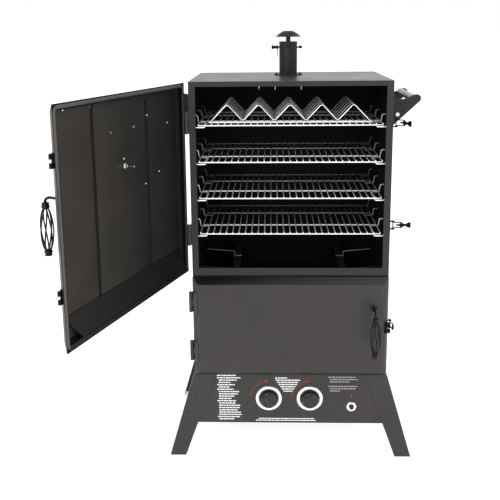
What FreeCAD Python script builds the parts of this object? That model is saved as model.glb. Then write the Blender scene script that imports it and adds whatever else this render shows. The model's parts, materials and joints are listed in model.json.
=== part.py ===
import FreeCAD, Part
import math
import os
import re
import Sketcher

# Upright gas smoker: a sheet-metal cabinet on splayed legs, with two doors,
# wire racks, a water pan, burners and controls, and a chimney with a damper.
# Millimetres. X across, Y from front to back, Z up; the floor under the
# cabinet's centre is the origin. Each door is built closed, and the upper
# one is then turned open about its hinge pins.

Vector = FreeCAD.Vector
doc = FreeCAD.newDocument("cabinet_smoker")
sheet = doc.addObject("Spreadsheet::Sheet", "dims")

SIZES = {
    # cabinet
    "half_width": 355.5, "half_depth": 240, "floor_z": 336, "roof_z": 1430,
    "skin": 1.5, "open_half": 332, "up_low": 755, "up_high": 1412,
    "low_low": 360, "low_high": 722,
    # legs and control panel
    "leg_top_out": 361, "leg_top_in": 277, "foot_out": 458.5, "foot_in": 398.5,
    "leg_flange": 34, "panel_z": 138, "panel_top_half": 345, "panel_low_half": 392,
    # doors
    "door_half": 357, "door_y": -242, "pan_depth": 25, "pan_inset": 23, "door_skin": 1.2,
    "lip": 14, "upper_low": 746, "upper_high": 1428, "lower_low": 337, "lower_high": 721,
    "rib_depth": 4, "rib_half": 5, "open_angle": 111,
    # hinges
    "hinge_x": -364.5, "hinge_y": -241, "knuckle_r": 7, "pin_r": 3, "pin_bore": 3.05,
    "hinge_tall": 76,
    # handles on the doors
    "cage_x": 301, "cage_r": 20, "cage_wire": 2.2, "cage_len": 142, "cage_out": 60,
    "cage_rod": 4, "collar_r": 9, "collar_tall": 14,
    # handles on the sides
    "grip_x": 443, "grip_z": 1357, "grip_r": 14, "bracket_y": 125, "bracket": 3,
    # chimney
    "flue_x": -1, "flue_y": 70, "flue_r": 34.5, "flue_top": 1557, "flue_wall": 1.5,
    "flange_r": 55, "cap_r": 47.7, "cap_top_r": 18.3, "cap_z": 1575.5, "cap_top": 1597,
    "strap_half": 7.8, "shaft_z": 1536, "shaft_r": 3, "shaft_bore": 3.06,
    # racks
    "rack_half": 326, "rack_front": -215, "rack_back": 193, "rail_r": 2.5, "wire_r": 1.9,
    "rack_pitch": 23.2, "weld": 4.1, "rack_step": 132.3, "rack_top": 1273,
    # controls
    "knob_x": 77, "knob_shift": -3, "knob_z": 240, "knob_r": 31, "stem_r": 4,
    "stem_bore": 4.05, "bezel_r": 50, "button_r": 7.5, "button_x": 231, "button_z": 206,
    # latches
    "latch_x": 369, "latch_y": -215, "latch_wire": 2, "latch_bore": 2.06, "bail_reach": 31,
    # water pan and wood chip box
    "pan_half": 183, "pan_rim": 208, "pan_half_y": 150, "pan_z": 640, "pan_top": 710,
    "box_half": 115, "box_z": 503, "box_top": 573,
}

for row, (alias, value) in enumerate(SIZES.items(), start=1):
    sheet.set("A%d" % row, alias.replace("_", " "))
    sheet.set("B%d" % row, str(value))
    sheet.setAlias("B%d" % row, alias)
doc.recompute()


def size(alias):
    """The number a sheet cell holds."""
    return float(sheet.get(alias))


def bind(thing, prop, value):
    """Set a property from a number, or from an expression of sheet names."""
    if isinstance(value, str):
        thing.setExpression(prop, re.sub(r"[a-z][a-z_0-9]*", r"dims.\g<0>", value))
    else:
        thing.setExpression(prop, repr(float(value)))


def place(thing, at, turn=None):
    """Put a thing at a point whose coordinates may be expressions."""
    if turn is not None:
        thing.Placement = FreeCAD.Placement(Vector(), FreeCAD.Rotation(Vector(*turn[0]), turn[1]))
    for axis, value in zip("xyz", at):
        bind(thing, "Placement.Base." + axis, value)


def box(label, low, span):
    """A box from its low corner and its lengths."""
    thing = doc.addObject("Part::Box", label)
    thing.Label = label
    for prop, value in zip(("Length", "Width", "Height"), span):
        bind(thing, prop, value)
    place(thing, low)
    return thing


def rounded(label, source, radius):
    """The source box with its four front-to-back edges rounded."""
    thing = doc.addObject("Part::Fillet", label)
    thing.Label = label
    thing.Base = source
    chosen = []
    for index, edge in enumerate(source.Shape.Edges, start=1):
        run = edge.tangentAt(edge.FirstParameter)
        if abs(run.y) > 0.9:
            chosen.append((index, radius, radius))
    thing.Edges = chosen
    return thing


AXES = {"x": ((0, 1, 0), 90), "y": ((1, 0, 0), -90), "z": ((0, 0, 1), 0)}


def rod(label, at, axis, radius, length):
    """A cylinder from a point, along +X, +Y or +Z."""
    thing = doc.addObject("Part::Cylinder", label)
    thing.Label = label
    bind(thing, "Radius", radius)
    bind(thing, "Height", length)
    place(thing, at, AXES[axis])
    return thing


def taper(label, at, axis, radius, end_radius, length):
    """A cone from a point, along +X, +Y or +Z."""
    thing = doc.addObject("Part::Cone", label)
    thing.Label = label
    bind(thing, "Radius1", radius)
    bind(thing, "Radius2", end_radius)
    bind(thing, "Height", length)
    place(thing, at, AXES[axis])
    return thing


def cut(label, base, tools):
    """The base with the tools taken away."""
    tool = tools[0] if len(tools) == 1 else join(label + "_tools", tools)
    thing = doc.addObject("Part::Cut", label)
    thing.Label = label
    thing.Base = base
    thing.Tool = tool
    return thing


def join(label, shapes):
    """One solid made of shapes that meet."""
    thing = doc.addObject("Part::MultiFuse", label)
    thing.Label = label
    thing.Shapes = shapes
    return thing


def group(label, shapes):
    """One node that holds separate solids."""
    thing = doc.addObject("Part::Compound", label)
    thing.Label = label
    thing.Links = shapes
    return thing


def mirror(label, source):
    """The source reflected across the cabinet's middle plane."""
    thing = doc.addObject("Part::Mirroring", label)
    thing.Label = label
    thing.Source = source
    thing.Normal = (1, 0, 0)
    return thing


def plate(label, plane, points, thickness, at=(0, 0, 0), backward=False, holes=()):
    """A flat plate: a sketched outline padded from one plane of its own body.

    Holes are (first coordinate, second coordinate, radius) in the sketch."""
    body = doc.addObject("PartDesign::Body", label)
    body.Label = label
    origin_plane = [one for one in body.Origin.OriginFeatures if one.Role == plane][0]
    sketch = body.newObject("Sketcher::SketchObject", label + "_outline")
    sketch.AttachmentSupport = [(origin_plane, "")]
    sketch.MapMode = "FlatFace"
    count = len(points)
    for index in range(count):
        start = points[index]
        end = points[(index + 1) % count]
        line = Part.LineSegment(Vector(number(start[0]), number(start[1]), 0),
                                Vector(number(end[0]), number(end[1]), 0))
        sketch.addGeometry(line, False)
    for index in range(count):
        sketch.addConstraint(Sketcher.Constraint("Coincident", index, 2, (index + 1) % count, 1))
    for index in range(count):
        for kind, value in zip(("DistanceX", "DistanceY"), points[index]):
            fixed = sketch.addConstraint(Sketcher.Constraint(kind, index, 1, number(value)))
            bind(sketch, "Constraints[%d]" % fixed, value)
    for hole_x, hole_y, hole_r in holes:
        circle = Part.Circle(Vector(number(hole_x), number(hole_y), 0), Vector(0, 0, 1), number(hole_r))
        ring = sketch.addGeometry(circle, False)
        wide = sketch.addConstraint(Sketcher.Constraint("Radius", ring, number(hole_r)))
        bind(sketch, "Constraints[%d]" % wide, hole_r)
        for kind, value in (("DistanceX", hole_x), ("DistanceY", hole_y)):
            fixed = sketch.addConstraint(Sketcher.Constraint(kind, ring, 3, number(value)))
            bind(sketch, "Constraints[%d]" % fixed, value)
    pad = body.newObject("PartDesign::Pad", label + "_pad")
    pad.Profile = sketch
    pad.Reversed = backward
    bind(pad, "Length", thickness)
    body.Tip = pad
    place(body, at)
    return body


def number(value):
    """A coordinate's value, from a number or a sum of sheet names and numbers."""
    if not isinstance(value, str):
        return float(value)
    total = 0.0
    sign = 1.0
    for word in value.replace("-", " - ").replace("+", " + ").split():
        if word in "+-":
            sign = -1.0 if word == "-" else 1.0
        elif word in SIZES:
            total += sign * size(word)
        else:
            total += sign * float(word)
    return total


def wire_path(points, bend, closed=False):
    """A wire through the points with each corner rounded to the bend radius."""
    spots = [Vector(*point) for point in points]
    count = len(spots)
    corners = range(count) if closed else range(1, count - 1)
    rounds = []
    for index in corners:
        before = (spots[index] - spots[index - 1]).normalize()
        after = (spots[(index + 1) % count] - spots[index]).normalize()
        turn = before.getAngle(after)
        back = bend * math.tan(turn / 2)
        inward = (after - before).normalize()
        middle = spots[index] + inward * (bend / math.cos(turn / 2) - bend)
        rounds.append((spots[index] - before * back, middle, spots[index] + after * back))
    edges = []
    last = rounds[-1][2] if closed else spots[0]
    for entry, middle, leave in rounds:
        edges.append(Part.LineSegment(last, entry).toShape())
        edges.append(Part.Arc(entry, middle, leave).toShape())
        last = leave
    if not closed:
        edges.append(Part.LineSegment(last, spots[-1]).toShape())
    return Part.Wire(edges)


def along(wire, radius):
    """Round bar swept along a wire."""
    edge = wire.Edges[0]
    start = edge.valueAt(edge.FirstParameter)
    heading = edge.tangentAt(edge.FirstParameter)
    ring = Part.Wire(Part.Circle(start, heading, radius).toShape())
    return wire.makePipeShell([ring], True, True)


def shaped(label, shape):
    """A node whose bent or twisted bar has no plain primitive."""
    thing = doc.addObject("Part::Feature", label)
    thing.Label = label
    thing.Shape = shape
    return thing


nodes = []


def keep(thing):
    """Mark a thing as one of the object's own pieces."""
    nodes.append(thing)
    return thing


# ---------------------------------------------------------------- cabinet

side_span = ("skin", "2 * half_depth - 2 * skin", "roof_z - floor_z - skin")
keep(box("left_side_panel", ("-half_width", "skin - half_depth", "floor_z"), side_span))
keep(box("right_side_panel", ("half_width - skin", "skin - half_depth", "floor_z"), side_span))
keep(box("back_panel", ("-half_width", "half_depth - skin", "floor_z"),
         ("2 * half_width", "skin", "roof_z - floor_z - skin")))
roof = box("roof_sheet", ("-half_width", "-half_depth", "roof_z - skin"),
           ("2 * half_width", "2 * half_depth", "skin"))
roof_hole = rod("roof_hole", ("flue_x", "flue_y", "roof_z - 5"), "z", "flue_r - flue_wall", 10)
keep(cut("top_panel", roof, [roof_hole]))

floor = box("floor_sheet", ("skin - half_width", "skin - half_depth", "floor_z"),
            ("2 * half_width - 2 * skin", "2 * half_depth - 2 * skin", "skin"))
floor_holes = []
for side in (-1, 1):
    across = "%d * knob_x + knob_shift" % side
    floor_holes.append(rod("floor_hole", (across, -185, "floor_z - 5"), "z", 20, 12))
floor_cut = cut("floor_cut", floor, floor_holes)
tray_rails = []
for side in (-1, 1):
    web_x = 162 if side > 0 else -163.5
    lip_x = 150 if side > 0 else -163.5
    tray_rails.append(box("rail_web", (web_x, -110, "floor_z - 11.5"), (1.5, 340, 11.5)))
    tray_rails.append(box("rail_lip", (lip_x, -110, "floor_z - 11.5"), (13.5, 340, 1.5)))
keep(join("bottom_panel", [floor_cut] + tray_rails))

strips = [
    box("left_stile", ("-half_width", "-half_depth", "floor_z"),
        ("half_width - open_half", "skin", "roof_z - skin - floor_z")),
    box("right_stile", ("open_half", "-half_depth", "floor_z"),
        ("half_width - open_half", "skin", "roof_z - skin - floor_z")),
    box("top_rail", ("-open_half", "-half_depth", "up_high"),
        ("2 * open_half", "skin", "roof_z - skin - up_high")),
    box("middle_rail", ("-open_half", "-half_depth", "low_high"),
        ("2 * open_half", "skin", "up_low - low_high")),
    box("bottom_rail", ("-open_half", "-half_depth", "floor_z"),
        ("2 * open_half", "skin", "low_low - floor_z")),
]
keep(group("front_frame", strips))

# ---------------------------------------------------------------- legs and panel


def leg(label, y_front, y_flange):
    """One splayed leg: a tapered plate with a flange turned along its outer edge."""
    outline = [("leg_top_in", "floor_z"), ("leg_top_out", "floor_z"), ("foot_out", 0), ("foot_in", 0)]
    web = plate(label + "_web", "XZ_Plane", outline, "skin", (0, y_front, 0), True)
    edge = [("leg_top_out - skin", "floor_z"), ("leg_top_out", "floor_z"),
            ("foot_out", 0), ("foot_out - skin", 0)]
    flange = plate(label + "_flange", "XZ_Plane", edge, "leg_flange", (0, y_flange, 0), True)
    return join(label, [web, flange])


front_right = leg("front_leg_right", "-half_depth", "-half_depth")
rear_right = leg("rear_leg_right", "half_depth - skin", "half_depth - leg_flange")
keep(group("front_legs", [front_right, mirror("front_leg_left", front_right)]))
keep(group("rear_legs", [rear_right, mirror("rear_leg_left", rear_right)]))

panel_outline = [("-panel_low_half", "panel_z"), ("panel_low_half", "panel_z"),
                 ("panel_top_half", "floor_z"), ("-panel_top_half", "floor_z")]
panel_holes = [("knob_shift - knob_x", "knob_z", 9), ("knob_shift + knob_x", "knob_z", 9),
               ("button_x", "button_z", 12)]
panel_face = plate("panel_face", "XZ_Plane", panel_outline, "skin", (0, "skin - half_depth", 0), True,
                   panel_holes)
panel_return = box("panel_return", ("-panel_low_half", "skin - half_depth", "panel_z"),
                   ("2 * panel_low_half", 22, "skin"))
keep(join("control_panel", [panel_face, panel_return]))

# ---------------------------------------------------------------- side handles

tip = []
for step in range(9):
    angle = math.radians(-60 + step * 20)
    tip.append((457 + 15 * math.cos(angle), 1356 + 15 * math.sin(angle)))
bracket_outline = [("half_width", 1241)] + tip + [
    (446, 1369), (430, 1361), (415, 1356), ("half_width", 1343)]
bracket_front = plate("bracket_front", "XZ_Plane", bracket_outline, "bracket",
                      (0, "-bracket_y", 0), False, [(390, 1298, 6.5)])
bracket_rear = plate("bracket_rear", "XZ_Plane", bracket_outline, "bracket",
                     (0, "bracket_y", 0), True, [(390, 1298, 6.5)])
brackets = [bracket_front, bracket_rear]
brackets += [mirror("bracket_front_left", bracket_front), mirror("bracket_rear_left", bracket_rear)]
keep(group("side_handle_brackets", brackets))
grip = rod("grip_right", ("grip_x", "-bracket_y", "grip_z"), "y", "grip_r", "2 * bracket_y")
keep(group("side_handle_grips", [grip, mirror("grip_left", grip)]))

# ---------------------------------------------------------------- chimney

flue_parts = [
    rod("flue_out", ("flue_x", "flue_y", "roof_z"), "z", "flue_r", "flue_top - roof_z"),
    rod("flue_flange", ("flue_x", "flue_y", "roof_z"), "z", "flange_r", 2),
]
for side in (-1, 1):
    flue_parts.append(rod("flange_bolt", ("flue_x + %d" % (45 * side), "flue_y", "roof_z + 2"), "z", 6.5, 7))
flue_cuts = [
    rod("flue_in", ("flue_x", "flue_y", "roof_z - 5"), "z", "flue_r - flue_wall", 140),
    rod("shaft_hole", ("flue_x - 60", "flue_y", "shaft_z"), "x", "shaft_bore", 120),
]
keep(cut("chimney_tube", join("flue_body", flue_parts), flue_cuts))

cap_out = taper("cap_out", ("flue_x", "flue_y", "cap_z"), "z", "cap_r", "cap_top_r", "cap_top - cap_z")
cap_in = taper("cap_in", ("flue_x", "flue_y", "cap_z - 1"), "z", "cap_r - 1", "cap_top_r - 3",
               "cap_top - cap_z - 1")
cap_parts = [cut("cap_cone", cap_out, [cap_in])]
for side in (-1, 1):
    strap_y = "flue_y - flue_r - 1.5" if side < 0 else "flue_y + flue_r"
    cap_parts.append(box("cap_strap", ("flue_x - strap_half", strap_y, 1533), ("2 * strap_half", 1.5, 47)))
    rivet_y = "flue_y - flue_r - 3" if side < 0 else "flue_y + flue_r + 1.5"
    cap_parts.append(rod("cap_rivet", ("flue_x", rivet_y, 1543), "y", 3, 1.5))
keep(join("chimney_cap", cap_parts))

damper_parts = [
    rod("damper_shaft", ("flue_x - 62", "flue_y", "shaft_z"), "x", "shaft_r", 106),
    rod("damper_plate", ("flue_x", "flue_y", "shaft_z - 0.75"), "z", "flue_r - flue_wall - 1.5", 1.5),
    rod("spool_outer", (-65, "flue_y", "shaft_z"), "x", 8, 6),
    rod("spool_waist", (-59, "flue_y", "shaft_z"), "x", 5.5, 14),
    rod("spool_inner", (-45, "flue_y", "shaft_z"), "x", 7.5, 6),
    box("damper_tab", (43, "flue_y - 6", "shaft_z - 2"), (10, 12, 4)),
    box("damper_lever", (-43, "flue_y - 4", 1498), (2.5, 8, 38)),
]
keep(join("damper", damper_parts))

# ---------------------------------------------------------------- racks

rack_parts = []
for rail_y in ("rack_front", -97, 75, "rack_back"):
    rack_parts.append(rod("rack_rail", ("-rack_half", rail_y, "rack_top"), "x", "rail_r", "2 * rack_half"))
for index in range(-14, 15):
    rack_parts.append(rod("rack_wire", ("%d * rack_pitch" % index, "rack_front - 1.5", "rack_top + weld"),
                          "y", "wire_r", "rack_back - rack_front + 3"))
rack = join("cooking_grate_1", rack_parts)
keep(rack)
for index in (2, 3, 4):
    lower_rack = group("cooking_grate_%d" % index, [rack])
    bind(lower_rack, "Placement.Base.z", "-%d * rack_step" % (index - 1))
    keep(lower_rack)

wall = size("half_width") - size("skin")
loops = []
for level in range(4):
    rail_z = size("rack_top") - level * size("rack_step")
    low = rail_z - 2 * size("rail_r") - 0.3
    for side in (-1, 1):
        for near, far in ((-222, -90), (60, 200)):
            path = [(side * wall, near, rail_z + 22), (side * 341, near, rail_z + 22),
                    (side * 336, near, low), (side * 303, near, low),
                    (side * 303, far, low), (side * 336, far, low),
                    (side * 341, far, rail_z + 22), (side * wall, far, rail_z + 22)]
            loops.append(shaped("support_loop", along(wire_path(path, 5), size("rail_r"))))
keep(group("grate_supports", loops))

def mitred(points, radius):
    """Straight round bars through the points, cut at each bend to meet face to face."""
    spots = [Vector(*point) for point in points]
    runs = []
    for start, end in zip(spots, spots[1:]):
        runs.append((end - start).normalize())
    bars = []
    for index, run in enumerate(runs):
        first = index > 0
        last = index < len(runs) - 1
        length = (spots[index + 1] - spots[index]).Length
        extra = 4 * radius
        start = spots[index] - run * (extra if first else 0)
        bar = Part.makeCylinder(radius, length + extra * (first + last), start, run)
        if first:
            back = (runs[index - 1] + run).normalize() * -1
            bar = bar.cut(Part.makeCylinder(8 * radius, 8 * radius, spots[index], back))
        if last:
            ahead = (run + runs[index + 1]).normalize()
            bar = bar.cut(Part.makeCylinder(8 * radius, 8 * radius, spots[index + 1], ahead))
        bars.append(bar)
    return bars


zig = [(-281, 1286.34)]
for index in range(5):
    zig.append((-224 + 112 * index, 1343.5))
    zig.append((-168 + 112 * index, 1286.34))
zig[-1] = (281, 1286.34)
rib_shapes = []
for index in range(6):
    rib_shapes += mitred([(x, -190 + 56 * index, z) for x, z in zig], 1.7)
for base_x in (-281, -168, -56, 56, 168, 281):
    rib_shapes.append(Part.makeCylinder(2, 285, Vector(base_x, -192.5, 1281.9), Vector(0, 1, 0)))
for base_y in (-195, 95):
    rib_shapes.append(Part.makeCylinder(2.5, 580, Vector(-290, base_y, 1281.9), Vector(1, 0, 0)))
keep(shaped("rib_rack", Part.makeCompound(rib_shapes)))

keep(rod("hook_rail", ("skin - half_width", 0, 1409), "x", 3, "2 * half_width - 2 * skin"))
hooks = []
for hook_x in (-113, -52, 46):
    path = [(hook_x, 6, 1396), (hook_x, 6, 1409), (hook_x, 5.2, 1412), (hook_x, 3, 1414.4),
            (hook_x, 0, 1415.2), (hook_x, -3, 1414.4), (hook_x, -5.2, 1412), (hook_x, -6, 1409),
            (hook_x, -4, 1396),
            (hook_x, -6, 1385), (hook_x, -12, 1381), (hook_x, -18, 1386), (hook_x, -20, 1398)]
    spine = Part.BSplineCurve()
    spine.interpolate([Vector(*point) for point in path])
    hooks.append(shaped("hook", along(Part.Wire(spine.toShape()), 1.6)))
keep(group("meat_hooks", hooks))

# ---------------------------------------------------------------- water pan, chip box, brackets

right_parts = [
    box("channel_web", (211.5, -235, 697), (1.5, 435, 25)),
    box("channel_low", (185, -235, 697), (28, 435, 1.3)),
    box("channel_top", (185, -235, 720.7), (28, 435, 1.3)),
]
arm_outline = [("half_width - skin", 768), ("half_width - 3", 768), ("half_width - 3", 752.4),
               (214.5, 740.2), (214.5, 700), (213, 700), (213, 738.4), ("half_width - skin", 750.4)]
for arm_y in (-216, 150):
    right_parts.append(plate("hanger_arm", "XZ_Plane", arm_outline, 20, (0, arm_y, 0), True))
right_hanger = join("right_hanger", right_parts)
shelf_bars = [box("shelf_bar", ("skin - half_width", y, "box_z - 3"), ("2 * half_width - 2 * skin", 20, 3))
              for y in (-100, 60)]
keep(group("pan_and_box_brackets", [right_hanger, mirror("left_hanger", right_hanger)] + shelf_bars))

pan_body = box("pan_body", ("-pan_half", "-pan_half_y", "pan_z"),
               ("2 * pan_half", "2 * pan_half_y", "pan_top - pan_z"))
pan_rim = box("pan_rim_strip", ("-pan_rim", "-pan_half_y", 698.5), ("2 * pan_rim", "2 * pan_half_y", 2))
pan_well = box("pan_well", ("1.5 - pan_half", "1.5 - pan_half_y", "pan_z + 1.5"),
               ("2 * pan_half - 3", "2 * pan_half_y - 3", "pan_top - pan_z"))
keep(cut("water_pan", join("pan_blank", [pan_body, pan_rim]), [pan_well]))

chip_body = box("chip_body", ("-box_half", -118, "box_z"), ("2 * box_half", 200, "box_top - box_z"))
chip_well = box("chip_well", ("1.5 - box_half", -116.5, "box_z + 1.5"),
                ("2 * box_half - 3", 197, "box_top - box_z"))
chip_ears = [rod("chip_pin", (x, 85, "box_top + 4"), "x", 2.5, 12) for x in (-106, 94)]
chip_posts = [box("chip_post", (x, 78, "box_top - 8"), (3, 10, 16)) for x in (-107, -94, 94, 104)]
keep(join("wood_chip_box", [cut("chip_shell", chip_body, [chip_well])] + chip_ears + chip_posts))
lid_sheet = box("lid_sheet", ("-box_half", -120, "box_top + 0.3"), ("2 * box_half", 193, 1.5))
lid_parts = [lid_sheet]
for x in (-103.6, 97.4):
    lid_parts.append(rod("lid_eye", (x, 85, "box_top + 4"), "x", 4.2, 6.2))
    lid_parts.append(box("lid_tongue", (x, 72, "box_top + 0.3"), (6.2, 12, 1.5)))
lid_parts.append(rod("lid_knob", (0, -90, "box_top + 1.5"), "z", 8, 14))
lid_holes = [rod("lid_bore", (x, 85, "box_top + 4"), "x", 2.55, 12) for x in (-106, 94)]
keep(cut("chip_box_lid", join("lid_blank", lid_parts), lid_holes))

tray_body = box("tray_body", (-148, -100, 295), (296, 320, 33))
tray_lips = box("tray_lips", (-160, -100, 326), (320, 320, 2))
tray_well = box("tray_well", (-146.5, -98.5, 296.5), (293, 317, 40))
keep(cut("grease_tray", join("tray_blank", [tray_body, tray_lips]), [tray_well]))

# ---------------------------------------------------------------- gas train and igniter

burner_list = []
valve_list = []
manifold_parts = [rod("manifold_pipe", (-120, -185, 205), "x", 9, 290)]
for side in (-1, 1):
    across = "%d * knob_x + knob_shift" % side
    shapes = [
        rod("venturi", (across, -185, 258), "z", 14, 137),
        rod("burner_arm", (across, -190, 388), "y", 12, 120),
        rod("burner_head", (across, -5, 376), "z", 68, 22),
    ]
    mouth = rod("venturi_bore", (across, -185, 250), "z", 11, 60)
    burner_list.append(cut("burner", join("burner_blank", shapes), [mouth]))
    body = box("valve_body", (across + " - 15", -205, 223), (30, 40, 32))
    spud = rod("valve_spud", (across, -185, 255), "z", 6, 12)
    neck = rod("valve_neck", (across, -214, "knob_z"), "y", 9, 10)
    valve_bore = rod("valve_bore", (across, -220, "knob_z"), "y", "stem_bore", 35)
    valve_list.append(cut("valve", join("valve_blank", [body, spud, neck]), [valve_bore]))
    manifold_parts.append(rod("manifold_riser", (across, -185, 205), "z", 7, 18))
manifold_parts.append(rod("inlet_boss", (155, -185, 205), "y", 11, 14))
manifold_parts.append(rod("inlet_fitting", (155, -171, 205), "y", 7.94, 18))
keep(group("burners", burner_list))
keep(group("gas_valves", valve_list))
keep(join("gas_manifold", manifold_parts))

panel_back = "2 * skin - half_depth"
bezels = []
for side in (-1, 1):
    across = "%d * knob_x + knob_shift" % side
    ring = taper("bezel_ring", (across, "skin - half_depth - 8", "knob_z"), "y", "bezel_r - 6", "bezel_r", 8)
    bore = rod("bezel_bore", (across, "skin - half_depth - 10", "knob_z"), "y", "knob_r + 3", 12)
    bezels.append(cut("bezel", ring, [bore]))
button_ring = rod("button_ring", ("button_x", "skin - half_depth - 5", "button_z"), "y", 18, 5)
button_hole = rod("button_hole", ("button_x", "skin - half_depth - 8", "button_z"), "y",
                  "button_r + 0.06", 12)
bezels.append(cut("button_bezel", button_ring, [button_hole]))
keep(group("panel_bezels", bezels))

module = rod("igniter_module", ("button_x", panel_back, "button_z"), "y", 16, 50)
module_bore = rod("module_bore", ("button_x", "skin - half_depth", "button_z"), "y", "button_r + 0.06", 30)
leads = []
for side in (-1, 1):
    end_x = side * size("knob_x") + size("knob_shift")
    path = [(size("button_x"), -190, 206), (size("button_x"), -158 + 8 * side, 206),
            (size("button_x"), -158 + 8 * side, 318), (end_x + 40, -158 + 8 * side, 318),
            (end_x + 40, -158 + 8 * side, 420)]
    leads.append(shaped("spark_lead", along(wire_path(path, 8), 2)))
lead_holes = [rod("lead_hole", ("%d * knob_x + knob_shift + 40" % side, -158 + 8 * side, 330), "z", 3, 14)
              for side in (-1, 1)]
keep(join("igniter", [cut("module_shell", module, [module_bore])] + leads))
floor_cut.Tool.Shapes = floor_holes + lead_holes

for name, side in (("left", -1), ("right", 1)):
    across = "%d * knob_x + knob_shift" % side
    keep(rod(name + "_valve_stem", (across, -262, "knob_z"), "y", "stem_r", 72))
    knob_parts = [
        rod("knob_disc", (across, -262, "knob_z"), "y", "knob_r", 14),
        taper("knob_crown", (across, -267, "knob_z"), "y", "knob_r - 5", "knob_r", 5),
    ]
    ridge = box("knob_ridge", (across, -275, "knob_z"), (52, 10, 11))
    ridge.Placement = FreeCAD.Placement(Vector(), FreeCAD.Rotation(Vector(0, 1, 0), 45))
    ridge_shift = (26 + 5.5) * math.cos(math.radians(45))
    ridge_lift = (26 - 5.5) * math.cos(math.radians(45))
    bind(ridge, "Placement.Base.x", across + " - %f" % ridge_shift)
    bind(ridge, "Placement.Base.y", -275)
    bind(ridge, "Placement.Base.z", "knob_z + %f" % ridge_lift)
    knob_bore = rod("knob_bore", (across, -262, "knob_z"), "y", "stem_bore", 20)
    keep(cut(name + "_knob", join(name + "_knob_blank", knob_parts + [ridge]), [knob_bore]))
keep(rod("igniter_button", ("button_x", -251, "button_z"), "y", "button_r", 28))

# ---------------------------------------------------------------- hinges


def hinge_set(label, levels, door_sheet):
    """Leaves and pins for one door: the cabinet's, the door's, and the pins."""
    fixed = []
    moving = []
    pins = []
    for level in levels:
        low = "%d - hinge_tall / 2" % level
        core = rod("pin_core", ("hinge_x", "hinge_y", low + " - 5"), "z", "pin_bore", "hinge_tall + 10")
        plates = [box("fixed_plate", ("-half_width - 3", "hinge_y + 9", low), (3, 34, "hinge_tall"))]
        for end in ("%d - hinge_tall / 2" % level, "%d + 13" % level):
            plates.append(rod("fixed_knuckle", ("hinge_x", "hinge_y", end), "z", "knuckle_r",
                              "hinge_tall / 2 - 13"))
            plates.append(box("fixed_web", ("-half_width - 3", "hinge_y - 0.9", end),
                              (2.8, 12.9, "hinge_tall / 2 - 13")))
        fixed.append(cut("fixed_leaf", join("fixed_blank", plates), [core]))
        wing = plate("door_wing", "XY_Plane",
                     [("-door_half + 4.6", "door_y - 5"), ("-door_half + 18.4", "door_y - 20"),
                      ("-door_half + 16.9", "door_y - 21.4"), ("-door_half + 3.1", "door_y - 6.4")],
                     "hinge_tall", (0, 0, low))
        web = plate("door_web", "XY_Plane",
                    [("-door_half", "door_y"), ("-door_half + 9.2", "door_y - 10"),
                     ("-door_half + 7.7", "door_y - 11.4"), ("-door_half - 4", "door_y - 2"),
                     ("-door_half - 4.5", "door_y")],
                    25.4, (0, 0, level - 12.7))
        knuckle = rod("door_knuckle", ("hinge_x", "hinge_y", level - 12.7), "z", "knuckle_r", 25.4)
        moving.append(cut("door_leaf", join("door_leaf_blank", [wing, web, knuckle]), [core]))
        pins.append(rod("hinge_pin", ("hinge_x", "hinge_y", low + " - 2"), "z", "pin_r", "hinge_tall + 4"))
    return fixed, group(label, moving), pins


upper_fixed, upper_leaves, upper_pins = hinge_set("upper_door_hinge_leaves", (880, 1286), "upper")
lower_fixed, lower_leaves, lower_pins = hinge_set("lower_door_hinge_leaves", (434, 625), "lower")
keep(group("cabinet_hinge_leaves", upper_fixed + lower_fixed))
keep(group("hinge_pins", upper_pins + lower_pins))

# ---------------------------------------------------------------- doors


def frustum(label, low_z, high_z, shrink, front, back):
    """A door pan's bevelled block, narrow at the front, shrunk all round."""
    thing = doc.addObject("Part::Wedge", label)
    thing.Label = label
    rim = shrink
    face = "pan_inset + %s" % shrink
    bind(thing, "X2min", "-door_half + " + rim)
    bind(thing, "X2max", "door_half - (%s)" % rim)
    bind(thing, "Z2min", low_z + " + " + rim)
    bind(thing, "Z2max", high_z + " - (%s)" % rim)
    bind(thing, "Xmin", "-door_half + " + face)
    bind(thing, "Xmax", "door_half - (%s)" % face)
    bind(thing, "Zmin", low_z + " + " + face)
    bind(thing, "Zmax", high_z + " - (%s)" % face)
    bind(thing, "Ymin", front)
    bind(thing, "Ymax", back)
    return thing


def rib(label, x, low_z, high_z, y_base):
    """A vertical V-shaped rib that stands out from a door's face."""
    outline = [("%d - rib_half" % x, y_base), ("%d + rib_half" % x, y_base), (x, y_base + " - rib_depth")]
    tall = "%s - pan_inset - 8 - (%s) - pan_inset - 8" % (high_z, low_z)
    return plate(label, "XY_Plane", outline, tall, (0, 0, low_z + " + pan_inset + 8"))


def door_pan(label, low_z, high_z, ribs, bores):
    """A sheet door: bevelled sides, an open back, ribs pressed in its face."""
    front = "door_y - pan_depth"
    block = frustum(label + "_block", low_z, high_z, "0", front, "door_y")
    hollow = frustum(label + "_hollow", low_z, high_z, "1.5 * door_skin",
                     "door_y - pan_depth + door_skin", "door_y")
    solids = [block]
    hollows = [hollow]
    for x in ribs:
        solids.append(rib(label + "_rib", x, low_z, high_z, "door_y - pan_depth"))
        hollows.append(rib(label + "_groove", x, low_z, high_z, "door_y - pan_depth + door_skin"))
    for x, z, radius in bores:
        hollows.append(rod(label + "_bore", (x, front + " - 5", z), "y", radius, 12))
    solid = join(label + "_blank", solids) if ribs else block
    return cut(label, solid, hollows)


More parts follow.
